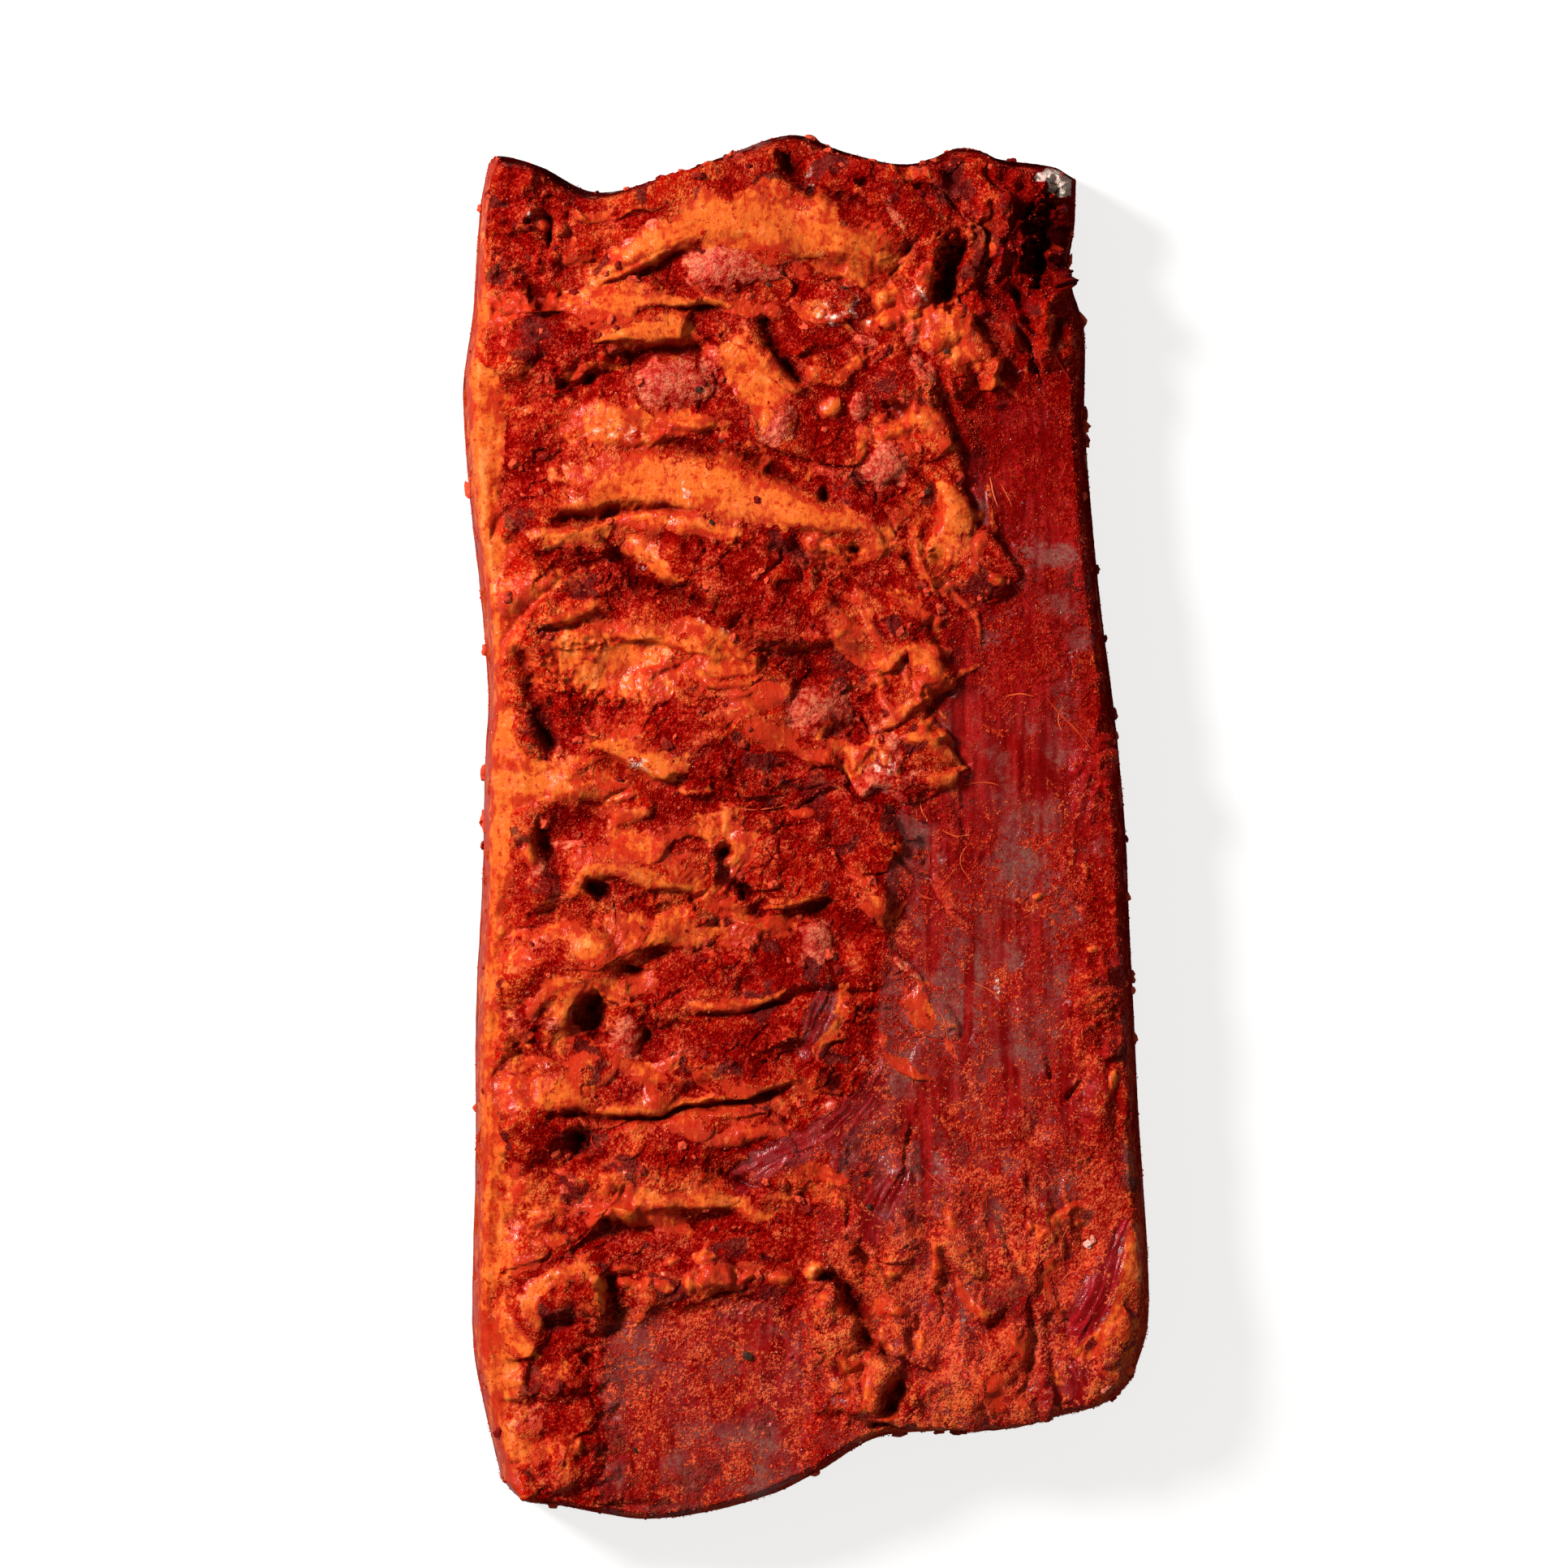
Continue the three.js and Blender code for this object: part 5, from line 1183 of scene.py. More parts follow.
class Graph:
    """A short way to place and join shader nodes."""

    def __init__(self, tree):
        self.tree = tree

    def node(self, kind, inputs=(), **settings):
        made = self.tree.nodes.new(kind)
        for key, value in settings.items():
            setattr(made, key, value)
        for key, value in dict(inputs).items():
            self.feed(made.inputs[key], value)
        return made

    def feed(self, socket, value):
        if isinstance(value, bpy.types.NodeSocket):
            self.tree.links.new(value, socket)
        else:
            socket.default_value = value

    def math(self, operation, a, b=0.0):
        return self.node("ShaderNodeMath", {0: a, 1: b}, operation=operation).outputs[0]

    def times(self, a, b):
        return self.math("MULTIPLY", a, b)

    def rest(self, value):
        return self.math("SUBTRACT", 1.0, value)

    def add(self, start, *terms):
        """The start plus each (value, weight), with the value taken from its middle, 0.5."""
        total = start
        for value, weight in terms:
            total = self.node("ShaderNodeMath", {0: value, 1: weight, 2: total},
                              operation="MULTIPLY_ADD").outputs[0]
            total = self.math("SUBTRACT", total, weight / 2)
        return total

    def noise(self, vector, scale, detail, roughness):
        made = self.node("ShaderNodeTexNoise", {"Vector": vector, "Scale": scale, "Detail": detail,
                                                "Roughness": roughness})
        return made.outputs["Fac"]

    def span(self, value, low, high, to_low=0.0, to_high=1.0):
        made = self.node("ShaderNodeMapRange", {"Value": value, "From Min": low, "From Max": high,
                                                "To Min": to_low, "To Max": to_high},
                         interpolation_type="SMOOTHSTEP")
        return made.outputs["Result"]

    def attribute(self, name):
        """The four channels of a colour attribute."""
        given = self.node("ShaderNodeAttribute", attribute_name=name)
        split = self.node("ShaderNodeSeparateColor", {0: given.outputs["Color"]}).outputs
        return split[0], split[1], split[2], given.outputs["Alpha"]

    def mix(self, share, a, b, blend="MIX"):
        made = self.node("ShaderNodeMix", {MIX_SHARE: share, MIX_A: a, MIX_B: b}, data_type="RGBA",
                         blend_type=blend)
        return made.outputs[MIX_RESULT]


def rgba(colour):
    return (*colour, 1.0)


def new_group(name, inputs, outputs):
    group = bpy.data.node_groups.new(name, "ShaderNodeTree")
    for label, kind, default in inputs:
        socket = group.interface.new_socket(label, in_out="INPUT", socket_type=kind)
        if default is not None:
            socket.default_value = default
    for label, kind in outputs:
        group.interface.new_socket(label, in_out="OUTPUT", socket_type=kind)
    g = Graph(group)
    return group, g, g.node("NodeGroupInput").outputs, g.node("NodeGroupOutput").inputs


def rub_group():
    """Granules of the spice rub: a shade from dark to light, a height, and patches of cover."""
    name = "Spice rub"
    if name in bpy.data.node_groups:
        return bpy.data.node_groups[name]
    group, g, given, out = new_group(
        name,
        [("Vector", "NodeSocketVector", None), ("Dust", "NodeSocketFloat", 0.4),
         ("Glow", "NodeSocketFloat", 0.5)],
        [("Shade", "NodeSocketFloat"), ("Height", "NodeSocketFloat"), ("Cover", "NodeSocketFloat"),
         ("Hue", "NodeSocketFloat")],
    )
    clumps = g.noise(given["Vector"], 330, 5, 0.6)
    fine = g.noise(given["Vector"], 1000, 4, 0.7)
    drift = g.noise(given["Vector"], 120, 3, 0.6)
    broad = g.noise(given["Vector"], 55, 2, 0.5)
    grains = g.node("ShaderNodeTexVoronoi", {"Vector": given["Vector"], "Scale": 1400.0,
                                             "Randomness": 1.0})
    round_grain = g.span(grains.outputs["Distance"], 0.62, 0.05)
    tone = g.node("ShaderNodeSeparateColor", {0: grains.outputs["Color"]}).outputs[0]
    shade = g.add(0.52, (clumps, 0.95), (fine, 0.8), (tone, 0.26), (round_grain, 0.3), (drift, 0.6),
                  (broad, 0.6), (given["Glow"], 0.6))
    g.feed(out["Shade"], shade)
    hue = g.add(0.5, (fine, 1.4), (tone, 0.4), (clumps, 1.1), (drift, 0.6))
    g.feed(out["Hue"], g.span(hue, 0.2, 0.85))
    g.feed(out["Height"], g.add(0.5, (clumps, 1.0), (round_grain, 0.5), (fine, 0.9)))
    strands = g.math("ABSOLUTE", g.math("SUBTRACT", g.noise(given["Vector"], 150, 4, 0.62), 0.5))
    strands = g.span(strands, 0.0, 0.07, 1.0, 0.0)
    reach = g.add(given["Dust"], (clumps, 1.1), (drift, 1.1), (broad, 0.5), (tone, 0.6), (fine, 0.5),
                  (strands, 0.3))
    g.feed(out["Cover"], g.span(reach, 0.43, 0.57))
    return group


def meat_material():
    """Crust, lean, fat and skin, placed by the attributes of the surface, with painted shade and painted
    glints.
    """
    name = "marinated meat"
    if name in bpy.data.materials:
        return bpy.data.materials[name]
    c = bpy.context.scene.belly_colours
    mat = bpy.data.materials.new(name)
    mat.use_nodes = True
    tree = mat.node_tree
    tree.nodes.clear()
    g = Graph(tree)
    place = g.node("ShaderNodeTexCoord").outputs["Object"]
    fat, lean, pink, pale = g.attribute("tissue")
    # The rub attribute's first channel, dark, is painted shade; the others are dust, wetness and fibre.
    dark, dust, wet, fibre = g.attribute("rub")
    stain_and_crest_highlight, clean, grey, glow = g.attribute("tint")
    dried, dull_and_painted_shade = g.attribute("spots")[:2]
    grains = g.node("ShaderNodeGroup", {"Vector": place, "Dust": dust, "Glow": glow},
                    node_tree=rub_group())
    shade, grain_height, cover, hue = grains.outputs
    blotch = g.noise(place, 130, 3, 0.6)
    fine = g.noise(place, 700, 3, 0.6)
    mid = g.noise(place, 300, 4, 0.65)

    # The rub: plain, stained over fat and lightened by a painted highlight on crests, and dried.
    low = g.mix(g.span(shade, 0.22, 0.5), rgba(c.crust_dark), rgba(c.crust_mid))
    crust = g.mix(g.span(shade, 0.48, 0.86), low, rgba(c.crust_light))
    warm = g.mix(g.span(shade, 0.25, 0.75), rgba(c.stain_dark), rgba(c.stain_light))
    # Stain near fat, and the painted highlight on crests, turn the rub orange.
    crust = g.mix(g.span(g.add(stain_and_crest_highlight, (mid, 0.9)), 0.3, 0.95), crust, warm)
    crust = g.mix(g.span(g.add(dried, (mid, 1.0)), 0.35, 0.9, 0.0, 0.8), crust, rgba(c.dried))

    # Lean meat, under its thin grey skin in places.
    lean_colour = g.mix(g.span(g.add(fibre, (blotch, 0.7)), 0.2, 0.85), rgba(c.lean_dark),
                        rgba(c.lean_light))
    skin_share = g.span(g.add(grey, (blotch, 1.0), (mid, 0.9), (fibre, 0.4)), 0.25, 1.0, 0.0, 0.9)
    lean_colour = g.mix(skin_share, lean_colour, rgba(c.membrane))
    lean_colour = g.mix(wet, lean_colour, g.mix(1.0, lean_colour, WET_TINT, "MULTIPLY"))

    # Fat, and the thin skin over the swellings, whose pink is partly painted sheen.
    drawn = g.node("ShaderNodeVectorMath", {0: place, 1: (1.0, 0.35, 1.0)}, operation="MULTIPLY")
    threads = g.noise(drawn.outputs[0], 600, 3, 0.6)
    tidy = g.add(g.times(clean, 0.77), (mid, 1.2), (fibre, 0.6), (blotch, 1.4), (threads, 1.0))
    fat_colour = g.mix(g.span(tidy, 0.15, 0.7), rgba(c.fat_dark), rgba(c.fat_light))
    streak = g.times(tidy, g.add(fibre, (blotch, 0.6)))
    fat_colour = g.mix(g.span(streak, 0.4, 0.85, 0.0, 0.7), fat_colour, rgba(c.fat_pale))
    dots = g.span(g.noise(place, 420, 3, 0.7), 0.55, 0.64, 0.0, 0.8)
    fat_colour = g.mix(dots, fat_colour, rgba(c.stain_dark))
    skin = g.mix(g.span(g.add(mid, (fine, 0.8), (blotch, 0.8)), 0.25, 0.7), rgba(c.crust_mid),
                 rgba(c.pink))

    # Which of them shows, with painted glints, and the painted shade in clefts, pits, cracks, hollows and
    # on the sides.
    fat_share = g.span(g.add(fat, (mid, 1.0), (fine, 0.7)), 0.26, 0.6)
    pink_share = g.span(g.add(pink, (mid, 0.9), (fine, 0.5)), 0.25, 0.7)
    lean_share = g.times(g.span(g.add(lean, (mid, 0.5)), 0.35, 0.65), g.rest(cover))
    colour = g.mix(lean_share, crust, lean_colour)
    colour = g.mix(pink_share, colour, skin)
    colour = g.mix(fat_share, colour, fat_colour)
    # Pale sinew and sponge, and small painted glints.
    bare = g.span(g.add(pale, (mid, 1.4), (fine, 0.8)), 0.35, 0.7, 0.0, 0.9)
    colour = g.mix(bare, colour, rgba(c.pale))
    hues = g.mix(hue, RED_TINT, ORANGE_TINT)
    calm = g.math("MAXIMUM", pale, g.math("MAXIMUM", fat_share, dull_and_painted_shade))
    calm = g.span(calm, 0.0, 1.0, 1.0, 0.3)
    colour = g.mix(calm, colour, g.mix(1.0, colour, hues, "MULTIPLY"))
    # Painted shade: darker and redder where dark is high, near black in deep clefts.
    shaded = g.mix(1.0, colour, SHADE_TINT, "MULTIPLY")
    colour = g.mix(g.span(dark, 0.03, 0.75, 0.0, 0.9), colour, shaded)
    colour = g.mix(g.span(dark, 0.5, 0.85, 0.0, 0.75), colour, CLEFT_PAINTED_SHADE)
    # Painted shade: the sides and the fat margin are darkened a little towards black.
    colour = g.mix(g.times(dull_and_painted_shade, 0.12), colour, BLACK)

    # Gloss where it is smooth or moist, and fine relief where it is rough.
    smooth = g.math("MAXIMUM", fat_share, g.math("MAXIMUM", lean_share, g.times(pink_share, 0.6)))
    rough = g.add(0.62, (blotch, 0.5))
    rough = g.math("SUBTRACT", rough, g.times(smooth, 0.40))
    sheen = g.times(lean_share, g.times(grey, 0.14))
    moist = g.span(g.noise(place, 75, 3, 0.6), 0.48, 0.62, 0.0, 0.13)
    sheen = g.math("ADD", g.math("ADD", sheen, moist), g.times(fat_share, 0.06))
    lit = g.times(g.rest(dark), g.span(dull_and_painted_shade, 0.0, 1.0, 1.0, 0.25))
    lit = g.times(lit, g.math("MAXIMUM", smooth, g.span(shade, 0.35, 0.7)))
    specular = g.math("ADD", g.times(sheen, lit), g.times(wet, 0.12))
    relief = g.times(grain_height, g.rest(g.times(smooth, 0.88)))
    bump = g.node("ShaderNodeBump", {"Strength": 1.0, "Distance": 0.0007, "Height": relief})
    soft = g.node("ShaderNodeBump", {"Strength": 0.55, "Distance": 0.0005, "Height": threads,
                                     "Normal": bump.outputs[0]})
    shader = g.node("ShaderNodeBsdfPrincipled", {
        "Base Color": colour, "Roughness": rough, "Normal": soft.outputs[0],
        "Specular IOR Level": specular})
    g.node("ShaderNodeOutputMaterial", {"Surface": shader.outputs[0]})
    return mat


def loose_material(name, dark, light, roughness, scale):
    """Loose bits: each has its own tone between two colours."""
    if name in bpy.data.materials:
        return bpy.data.materials[name]
    mat = bpy.data.materials.new(name)
    mat.use_nodes = True
    mat.node_tree.nodes.clear()
    g = Graph(mat.node_tree)
    tone = g.node("ShaderNodeAttribute", attribute_name="tone").outputs["Fac"]
    drift = g.noise(g.node("ShaderNodeTexCoord").outputs["Object"], scale, 3, 0.6)
    colour = g.mix(g.span(g.add(tone, (drift, 0.8)), 0.05, 0.95), rgba(dark), rgba(light))
    relief = g.node("ShaderNodeBump", {"Strength": 0.8, "Distance": 0.0004, "Height": drift})
    shader = g.node("ShaderNodeBsdfPrincipled", {
        "Base Color": colour, "Roughness": roughness, "Normal": relief.outputs[0],
        "Specular IOR Level": 0.1})
    g.node("ShaderNodeOutputMaterial", {"Surface": shader.outputs[0]})
    return mat


# ---- Pieces ----


# The numbers that start the random draws, and the sizes of the pieces in millimetres.
SEEDS = {"grains": 201, "grain shapes": 203, "crumbs": 211, "crumb shapes": 213, "flakes": 221,
         "sinews": 231}
RIND_ROWS, RIND_COLUMNS = 130, 64
RIND_BEVEL = 1.2
GRAIN_SIZE = 0.14
SPECKS, SPECK_SIZE = 900, 0.1
LOOSE_SINEWS = 22
# No loose piece reaches below this height.
LOWEST = 0.1


def place_piece(name, mesh, material, replaces=False):
    piece = bpy.data.objects.new(name, mesh)
    bpy.context.scene.collection.objects.link(piece)
    piece.data.materials.append(material)
    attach(piece, "root")
    if replaces:
        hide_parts(NODE)
    return piece


def grid_mesh(name, rows, columns):
    """A flat net of rows by columns of points, row after row."""
    bm = bmesh.new()
    bmesh.ops.create_grid(bm, x_segments=columns - 1, y_segments=rows - 1, size=1.0)
    mesh = bpy.data.meshes.new(name)
    bm.to_mesh(mesh)
    bm.free()
    mesh.shade_smooth()
    return mesh


def give_tones(mesh, tones):
    """Gives each point the tone that a loose material reads."""
    layer = mesh.attributes.new("tone", "FLOAT", "POINT")
    layer.data.foreach_set("value", tones.astype(np.float32))


def colour_attribute(mesh, name, *channels):
    layer = mesh.attributes.new(name, "FLOAT_COLOR", "POINT")
    layer.data.foreach_set("color", np.stack(channels, 1).astype(np.float32).ravel())


class BELLY_OT_meat(Operator):
    """Make the meat and fat of the slab, from the rind's edge up"""

    bl_idname = "belly.meat"
    bl_label = "Meat"

    def execute(self, context):
        m = meat()
        rows, columns = m.shape
        count = context.scene.belly_sizes.bands
        cuts = np.linspace(0, rows - 1, count + 1).astype(int)
        number = np.arange(m.count).reshape(m.shape)
        for k, (first, last) in enumerate(zip(cuts[:-1], cuts[1:])):
            pick = number[first:last + 1].ravel()
            mesh = grid_mesh(f"meat_{k + 1}", last - first + 1, columns)
            mesh.vertices.foreach_set("co", (m.final[pick] * MM).astype(np.float32).ravel())
            colour_attribute(mesh, "tissue", *(m.tissue[name][pick] for name in TISSUES))
            # The rub attribute's first channel carries the painted shade.
            colour_attribute(mesh, "rub", m.dark[pick], m.dust[pick], m.wet[pick], m.fibre[pick])
            colour_attribute(mesh, "tint", m.stain_and_crest_highlight[pick], m.clean[pick], m.grey[pick], m.glow[pick])
            spare = np.zeros(len(pick))
            colour_attribute(mesh, "spots", m.dried[pick], m.dull_and_painted_shade[pick], spare, spare)
            mesh.update()
            mesh.normals_split_custom_set_from_vertices(m.final_normal[pick].tolist())
            place_piece(f"meat_{k + 1}", mesh, meat_material(), replaces=True)
        return {"FINISHED"}


class BELLY_OT_rind(Operator):
    """Make the rind that the slab lies on"""

    bl_idname = "belly.rind"
    bl_label = "Rind"

    def execute(self, context):
        s = context.scene.belly_sizes
        c = context.scene.belly_colours
        m = meat()
        v, u = np.meshgrid(np.linspace(0, 1, RIND_ROWS), np.linspace(0, 1, RIND_COLUMNS),
                           indexing="ij")
        flat = m.outline.inside(u, v).reshape(-1, 2) - m.outline.middle
        mesh = grid_mesh("rind", RIND_ROWS, RIND_COLUMNS)
        co = np.column_stack([flat, np.full(len(flat), s.rind_edge)]) * MM
        mesh.vertices.foreach_set("co", co.astype(np.float32).ravel())
        bm = bmesh.new()
        bm.from_mesh(mesh)
        made = bmesh.ops.extrude_face_region(bm, geom=bm.faces[:])
        low = [e for e in made["geom"] if isinstance(e, bmesh.types.BMVert)]
        bmesh.ops.translate(bm, verts=low, vec=(0, 0, -s.rind_edge * MM))
        bmesh.ops.recalc_face_normals(bm, faces=bm.faces[:])
        rim = [e for e in bm.edges if all(abs(v.co.z) < 1e-6 for v in e.verts)
               and any(abs(f.normal.z) < 0.5 for f in e.link_faces)]
        bmesh.ops.bevel(bm, geom=rim, offset=RIND_BEVEL * MM, segments=3, profile=0.5,
                        affect="EDGES", material=-1)
        bm.to_mesh(mesh)
        bm.free()
        mesh.shade_smooth()
        give_tones(mesh, np.full(len(mesh.vertices), 0.5))
        dark = tuple(0.45 * part for part in c.rind)
        place_piece("rind", mesh, loose_material("rind", dark, c.rind, 0.5, 160), replaces=True)
        return {"FINISHED"}


def template(kind, **settings):
    """The points and faces of one small shape."""
    bm = bmesh.new()
    getattr(bmesh.ops, kind)(bm, **settings)
    bmesh.ops.triangulate(bm, faces=bm.faces[:])
    co = np.array([v.co[:] for v in bm.verts])
    faces = np.array([[v.index for v in f.verts] for f in bm.faces])
    bm.free()
    return co, faces


def tiled_mesh(name, points, faces, tones):
    """One mesh of many copies: points is copies by corners by 3, in millimetres."""
    copies, corners = points.shape[:2]
    mesh = bpy.data.meshes.new(name)
    offset = np.arange(copies)[:, None, None] * corners
    mesh.from_pydata((points.reshape(-1, 3) * MM).tolist(), [], (faces[None] + offset).reshape(
        -1, faces.shape[1]).tolist())
    give_tones(mesh, np.repeat(tones, corners))
    return mesh


def lumps_mesh(name, shape, centres, normals, sizes, seed, flat=0.7, dents=0.22):
    """Squashed, dented copies of a shape, each lying on the skin."""
    draw = np.random.default_rng(seed)
    co, faces = shape
    count = len(centres)
    first = draw.normal(size=(count, 3))
    first -= normals * (first * normals).sum(1)[:, None]
    first /= np.linalg.norm(first, axis=1)[:, None]
    second = np.cross(normals, first)
    local = co[None] * (1 + dents * draw.normal(size=(count, len(co))))[..., None]
    local = local * np.stack([draw.uniform(0.8, 1.5, count), draw.uniform(0.7, 1.1, count),
                              np.full(count, flat)], 1)[:, None]
    points = (local[..., :1] * first[:, None] + local[..., 1:2] * second[:, None]
              + local[..., 2:] * normals[:, None]) * sizes[:, None, None] + centres[:, None]
    points[..., 2] = np.maximum(points[..., 2], LOWEST)
    return tiled_mesh(name, points, faces, draw.random(count))


class BELLY_OT_grains(Operator):
    """Scatter loose grains of the rub and specks of salt over the meat"""

    bl_idname = "belly.grains"
    bl_label = "Grains"

    def execute(self, context):
        m, c = meat(), context.scene.belly_colours
        count = context.scene.belly_sizes.grains // 1
        lean = m.tissue["lean"]
        rub = np.clip(m.dust - 0.1, 0.05, 1) * (1 - 0.8 * m.tissue["fat"]) * (0.2 + lean)
        rub *= (1 - m.dark) * (m.rise > 0.25) * np.clip(rough_noise(m.flat, 7, 2, 202) + 0.35, 0, 2) ** 2
        salt = (lean + 0.15) * (m.rise > 0.8) * (1 - m.dark)
        shape = template("create_cone", cap_ends=True, segments=3, radius1=1.3, radius2=0.0, depth=1.5)
        for name, number, weight, size, dark, light in (
            ("grains", count, rub, GRAIN_SIZE, c.crust_mid, c.grain),
            ("specks", SPECKS, salt, SPECK_SIZE, c.salt, c.salt),
        ):
            draw = np.random.default_rng(SEEDS["grains"])
            pick = draw.choice(m.count, number, p=weight / weight.sum())
            sizes = size * (1 + 1.6 * draw.random(number) ** 2)
            centres = m.final[pick] + draw.normal(0, 0.2, (number, 3)) * (1, 1, 0)
            centres += m.final_normal[pick] * sizes[:, None] * 0.3
            mesh = lumps_mesh(name, shape, centres, m.final_normal[pick], sizes,
                              SEEDS["grain shapes"])
            place_piece(name, mesh, loose_material(name, dark, light, 0.8, 300))
        return {"FINISHED"}


class BELLY_OT_crumbs(Operator):
    """Lay crumbs of the rub on the crust and along the edges"""

    bl_idname = "belly.crumbs"
    bl_label = "Crumbs"

    def execute(self, context):
        m, c = meat(), context.scene.belly_colours
        count = context.scene.belly_sizes.crumbs
        draw = np.random.default_rng(SEEDS["crumbs"])
        weight = m.bare * (0.3 + m.crags) * (1 - m.dark) * (m.rise > 0.3)
        weight += 0.8 * (m.rise > 0.4) * (m.rise < 0.97) * (0.3 + m.bare) * (1 - m.dark)
        pick = draw.choice(m.count, count, p=weight / weight.sum())
        sizes = 0.4 + draw.random(count) ** 3 * 1.3
        centres = m.final[pick] + m.final_normal[pick] * sizes[:, None] * 0.15
        normals = m.final_normal[pick]
        spots = [m.spot(x, y) for x, y, _ in EDGE_CRUMBS]
        centres = np.vstack([centres, [place for place, _ in spots]])
        normals = np.vstack([normals, [normal for _, normal in spots]])
        sizes = np.concatenate([sizes, [radius for *_, radius in EDGE_CRUMBS]])
        shape = template("create_icosphere", subdivisions=2, radius=1.0)
        mesh = lumps_mesh("crumbs", shape, centres, normals, sizes, SEEDS["crumb shapes"], 0.7, 0.2)
        place_piece("crumbs", mesh, loose_material("crumbs", c.crust_dark, c.crust_light, 0.8, 700))
        return {"FINISHED"}


class BELLY_OT_flakes(Operator):
    """Lay flakes of salt and bits of dried herb on the meat"""

    bl_idname = "belly.flakes"
    bl_label = "Flakes and herbs"

    def execute(self, context):
        m, c = meat(), context.scene.belly_colours
        shape = template("create_icosphere", subdivisions=2, radius=1.0)
        herb = tuple(2 * part for part in c.herb)
        for name, rows, dark, light, flat in (
            ("salt", SALT_FLAKES, c.pink, c.salt, 0.45), ("herbs", HERB_BITS, c.herb, herb, 0.35),
        ):
            spots = [m.spot(x, y) for x, y, _ in rows]
            centres = np.array([place + 0.3 * normal for place, normal in spots])
            normals = np.array([normal for _, normal in spots])
            sizes = np.array([radius for *_, radius in rows])
            mesh = lumps_mesh(name, shape, centres, normals, sizes, SEEDS["flakes"], flat, 0.2)
            place_piece(name, mesh, loose_material(name, dark, light, 0.6, 900))
        return {"FINISHED"}


class BELLY_OT_sinews(Operator):
    """Lay thin sinews over the meat"""

    bl_idname = "belly.sinews"
    bl_label = "Sinews"

    def execute(self, context):
        m, c = meat(), context.scene.belly_colours
        steps, sides, smoothing = 25, 7, 5
        cut = smoothing // 2
        draw = np.random.default_rng(SEEDS["sinews"])
        rows = list(SINEWS)
        for _ in range(LOOSE_SINEWS):
            x, y = draw.uniform(26, 96), draw.uniform(-180, 120)
            length, turn = draw.uniform(5, 16), draw.normal(-1.3, 0.6)
            bend = draw.normal(0, 0.15) * length
            along = np.array([math.cos(turn), math.sin(turn)]) * length / 2
            rows.append((draw.uniform(0.14, 0.28), [
                (x - along[0], y - along[1]), (x + bend, y), (x + along[0], y + along[1])]))
        angle = np.linspace(0, 2 * math.pi, sides)[None, :, None]
        tubes = []
        for radius, path in rows:
            curve = curve_through([(*p, 0) for p in path], CURVE_STEPS)
            curve = curve[np.linspace(0, len(curve) - 1, steps).astype(int)]
            middle, normal = (np.array(v) for v in zip(*(m.spot(x, y) for x, y, _ in curve)))
            middle = np.apply_along_axis(
                lambda v: np.convolve(v, np.ones(smoothing) / smoothing, "same"), 0, middle)
            middle, normal = middle[cut:-cut], normal[cut:-cut]
            along = np.gradient(middle, axis=0)
            along /= np.linalg.norm(along, axis=1)[:, None]
            side = np.cross(along, normal)
            side /= np.linalg.norm(side, axis=1)[:, None]
            thick = radius * np.sqrt(np.clip(np.sin(np.linspace(0.04, 3.1, len(middle))), 0, 1))
            ring = (np.cos(angle) * side[:, None] + np.sin(angle) * np.cross(side, along)[:, None])
            tubes.append((middle[:, None] + ring * thick[:, None, None]).reshape(-1, 3))
        shape = template("create_grid", x_segments=sides - 1, y_segments=steps - 2 * cut - 1, size=1.0)
        mesh = tiled_mesh("sinews", np.array(tubes), shape[1], draw.random(len(tubes)))
        mesh.shade_smooth()
        place_piece("sinews", mesh, loose_material("sinews", c.crust_mid, c.stain_light, 0.5, 200))
        return {"FINISHED"}


FLOOR_REACH = 3.0
FLOOR_COLOUR = (0.22, 0.218, 0.215, 1.0)
FLOOR_GLOW = 0.80
LAMP_COLOUR = (1.0, 0.99, 0.98, 1.0)
KEY_PLACE = (-1.3, 0.75, 1.25)
KEY_SIZE = 0.5
CAMERA_ACROSS, CAMERA_ALONG = -7.0 * MM, 13.5 * MM
CAMERA_SENSOR = 36.0
CAMERA_REACH = 20.0


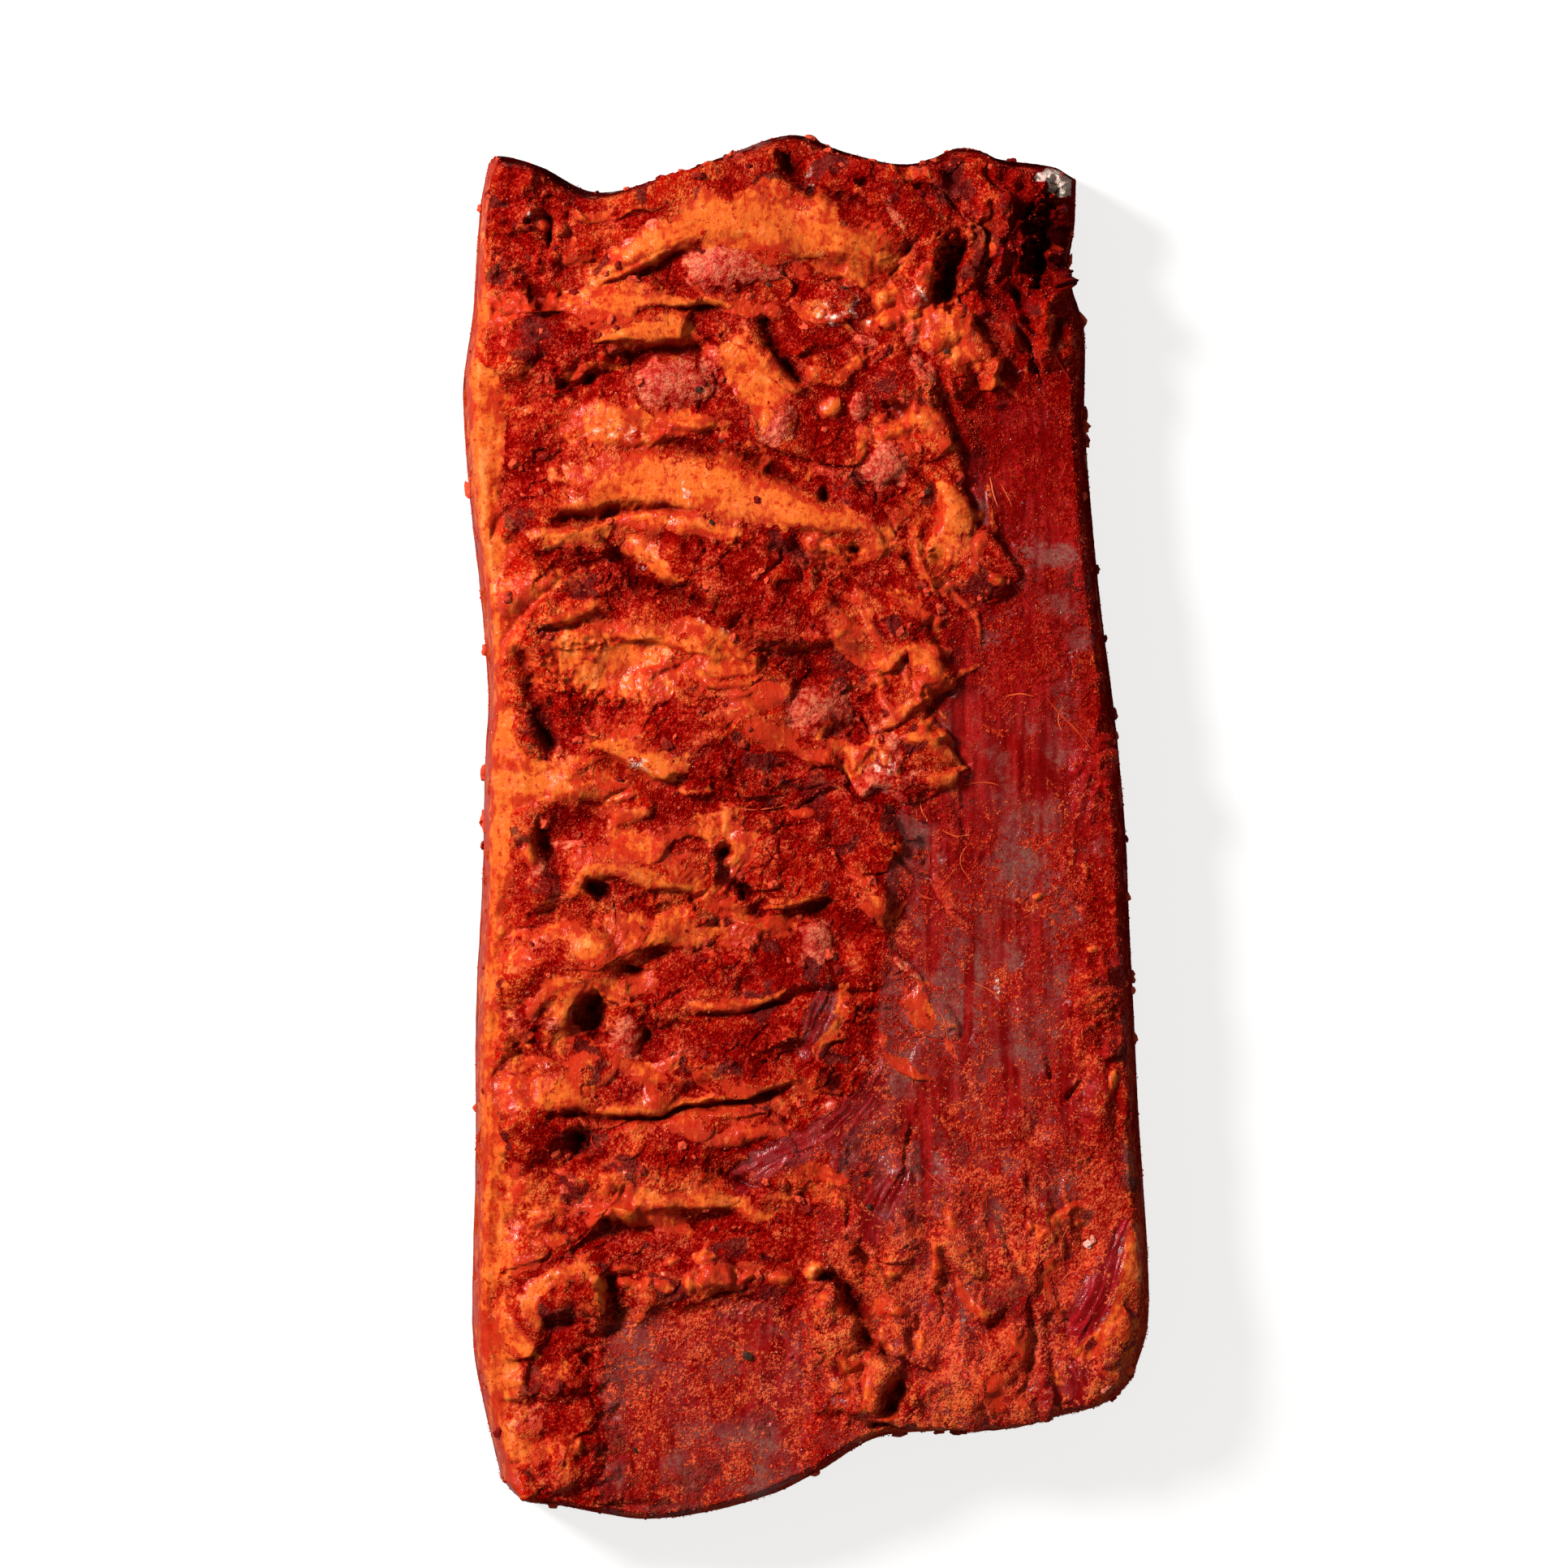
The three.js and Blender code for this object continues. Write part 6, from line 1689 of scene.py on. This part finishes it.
class BELLY_OT_stage(Operator):
    """Set the floor, the lights and the camera straight above"""

    bl_idname = "belly.stage"
    bl_label = "Stage"

    def execute(self, context):
        st = context.scene.belly_stage
        scene = context.scene
        mesh = grid_mesh("floor", 2, 2)
        mesh.transform(Matrix.Diagonal((FLOOR_REACH, FLOOR_REACH, 1.0, 1.0)))
        floor = bpy.data.objects.new("floor", mesh)
        scene.collection.objects.link(floor)
        floor.data.materials.append(self.floor_material())
        scene.view_settings.view_transform = "Standard"
        world = bpy.data.worlds.new("studio")
        world.use_nodes = True
        background = world.node_tree.nodes["Background"].inputs
        background["Color"].default_value = LAMP_COLOUR
        background["Strength"].default_value = st.fill
        scene.world = world
        self.key_light(scene, st.key_power)
        self.camera(scene, st)
        return {"FINISHED"}

    def floor_material(self):
        """A pale floor that the camera sees as a light table, without its light on the meat."""
        mat = bpy.data.materials.new("floor")
        mat.use_nodes = True
        g = Graph(mat.node_tree)
        seen = g.node("ShaderNodeLightPath").outputs["Is Camera Ray"]
        shader = mat.node_tree.nodes["Principled BSDF"]
        g.feed(shader.inputs["Base Color"], FLOOR_COLOUR)
        g.feed(shader.inputs["Roughness"], 0.8)
        g.feed(shader.inputs["Specular IOR Level"], 0.1)
        g.feed(shader.inputs["Emission Color"], LAMP_COLOUR)
        g.feed(shader.inputs["Emission Strength"], g.times(seen, FLOOR_GLOW))
        return mat

    def key_light(self, scene, power):
        """A soft round lamp up at the back left, turned towards the slab."""
        data = bpy.data.lights.new("key", "AREA")
        data.shape = "DISK"
        data.size = KEY_SIZE
        data.energy = power
        light = bpy.data.objects.new("key", data)
        light.location = KEY_PLACE
        light.rotation_euler = (-Vector(KEY_PLACE)).to_track_quat("-Z", "Y").to_euler()
        scene.collection.objects.link(light)

    def camera(self, scene, st):
        """A camera straight above, with the photograph's frame."""
        data = bpy.data.cameras.new("camera")
        data.sensor_width = CAMERA_SENSOR
        data.lens = data.sensor_width * st.distance / st.picture_width
        data.clip_end = CAMERA_REACH
        camera = bpy.data.objects.new("camera", data)
        camera.location = (CAMERA_ACROSS, CAMERA_ALONG, st.distance)
        scene.collection.objects.link(camera)
        scene.camera = camera


class BELLY_PT_sidebar(Panel):
    bl_label = "Pork belly"
    bl_idname = "BELLY_PT_sidebar"
    bl_space_type = "VIEW_3D"
    bl_region_type = "UI"
    bl_category = "Pork belly"

    def draw(self, context):
        for operator in PIECES:
            self.layout.operator(operator.bl_idname)


PIECES = (BELLY_OT_meat, BELLY_OT_rind, BELLY_OT_grains, BELLY_OT_crumbs, BELLY_OT_flakes,
          BELLY_OT_sinews, BELLY_OT_stage)
CLASSES = (BellySizes, BellyColours, StageSettings, *PIECES, BELLY_PT_sidebar)


def register():
    for cls in CLASSES:
        bpy.utils.register_class(cls)
    bpy.types.Scene.belly_sizes = PointerProperty(type=BellySizes)
    bpy.types.Scene.belly_colours = PointerProperty(type=BellyColours)
    bpy.types.Scene.belly_stage = PointerProperty(type=StageSettings)


def unregister():
    del bpy.types.Scene.belly_sizes
    del bpy.types.Scene.belly_colours
    del bpy.types.Scene.belly_stage
    for cls in reversed(CLASSES):
        bpy.utils.unregister_class(cls)


def main():
    register()
    bpy.ops.belly.meat()
    bpy.ops.belly.rind()
    bpy.ops.belly.grains()
    bpy.ops.belly.crumbs()
    bpy.ops.belly.flakes()
    bpy.ops.belly.sinews()
    bpy.ops.belly.stage()


if __name__ == "__main__":
    main()
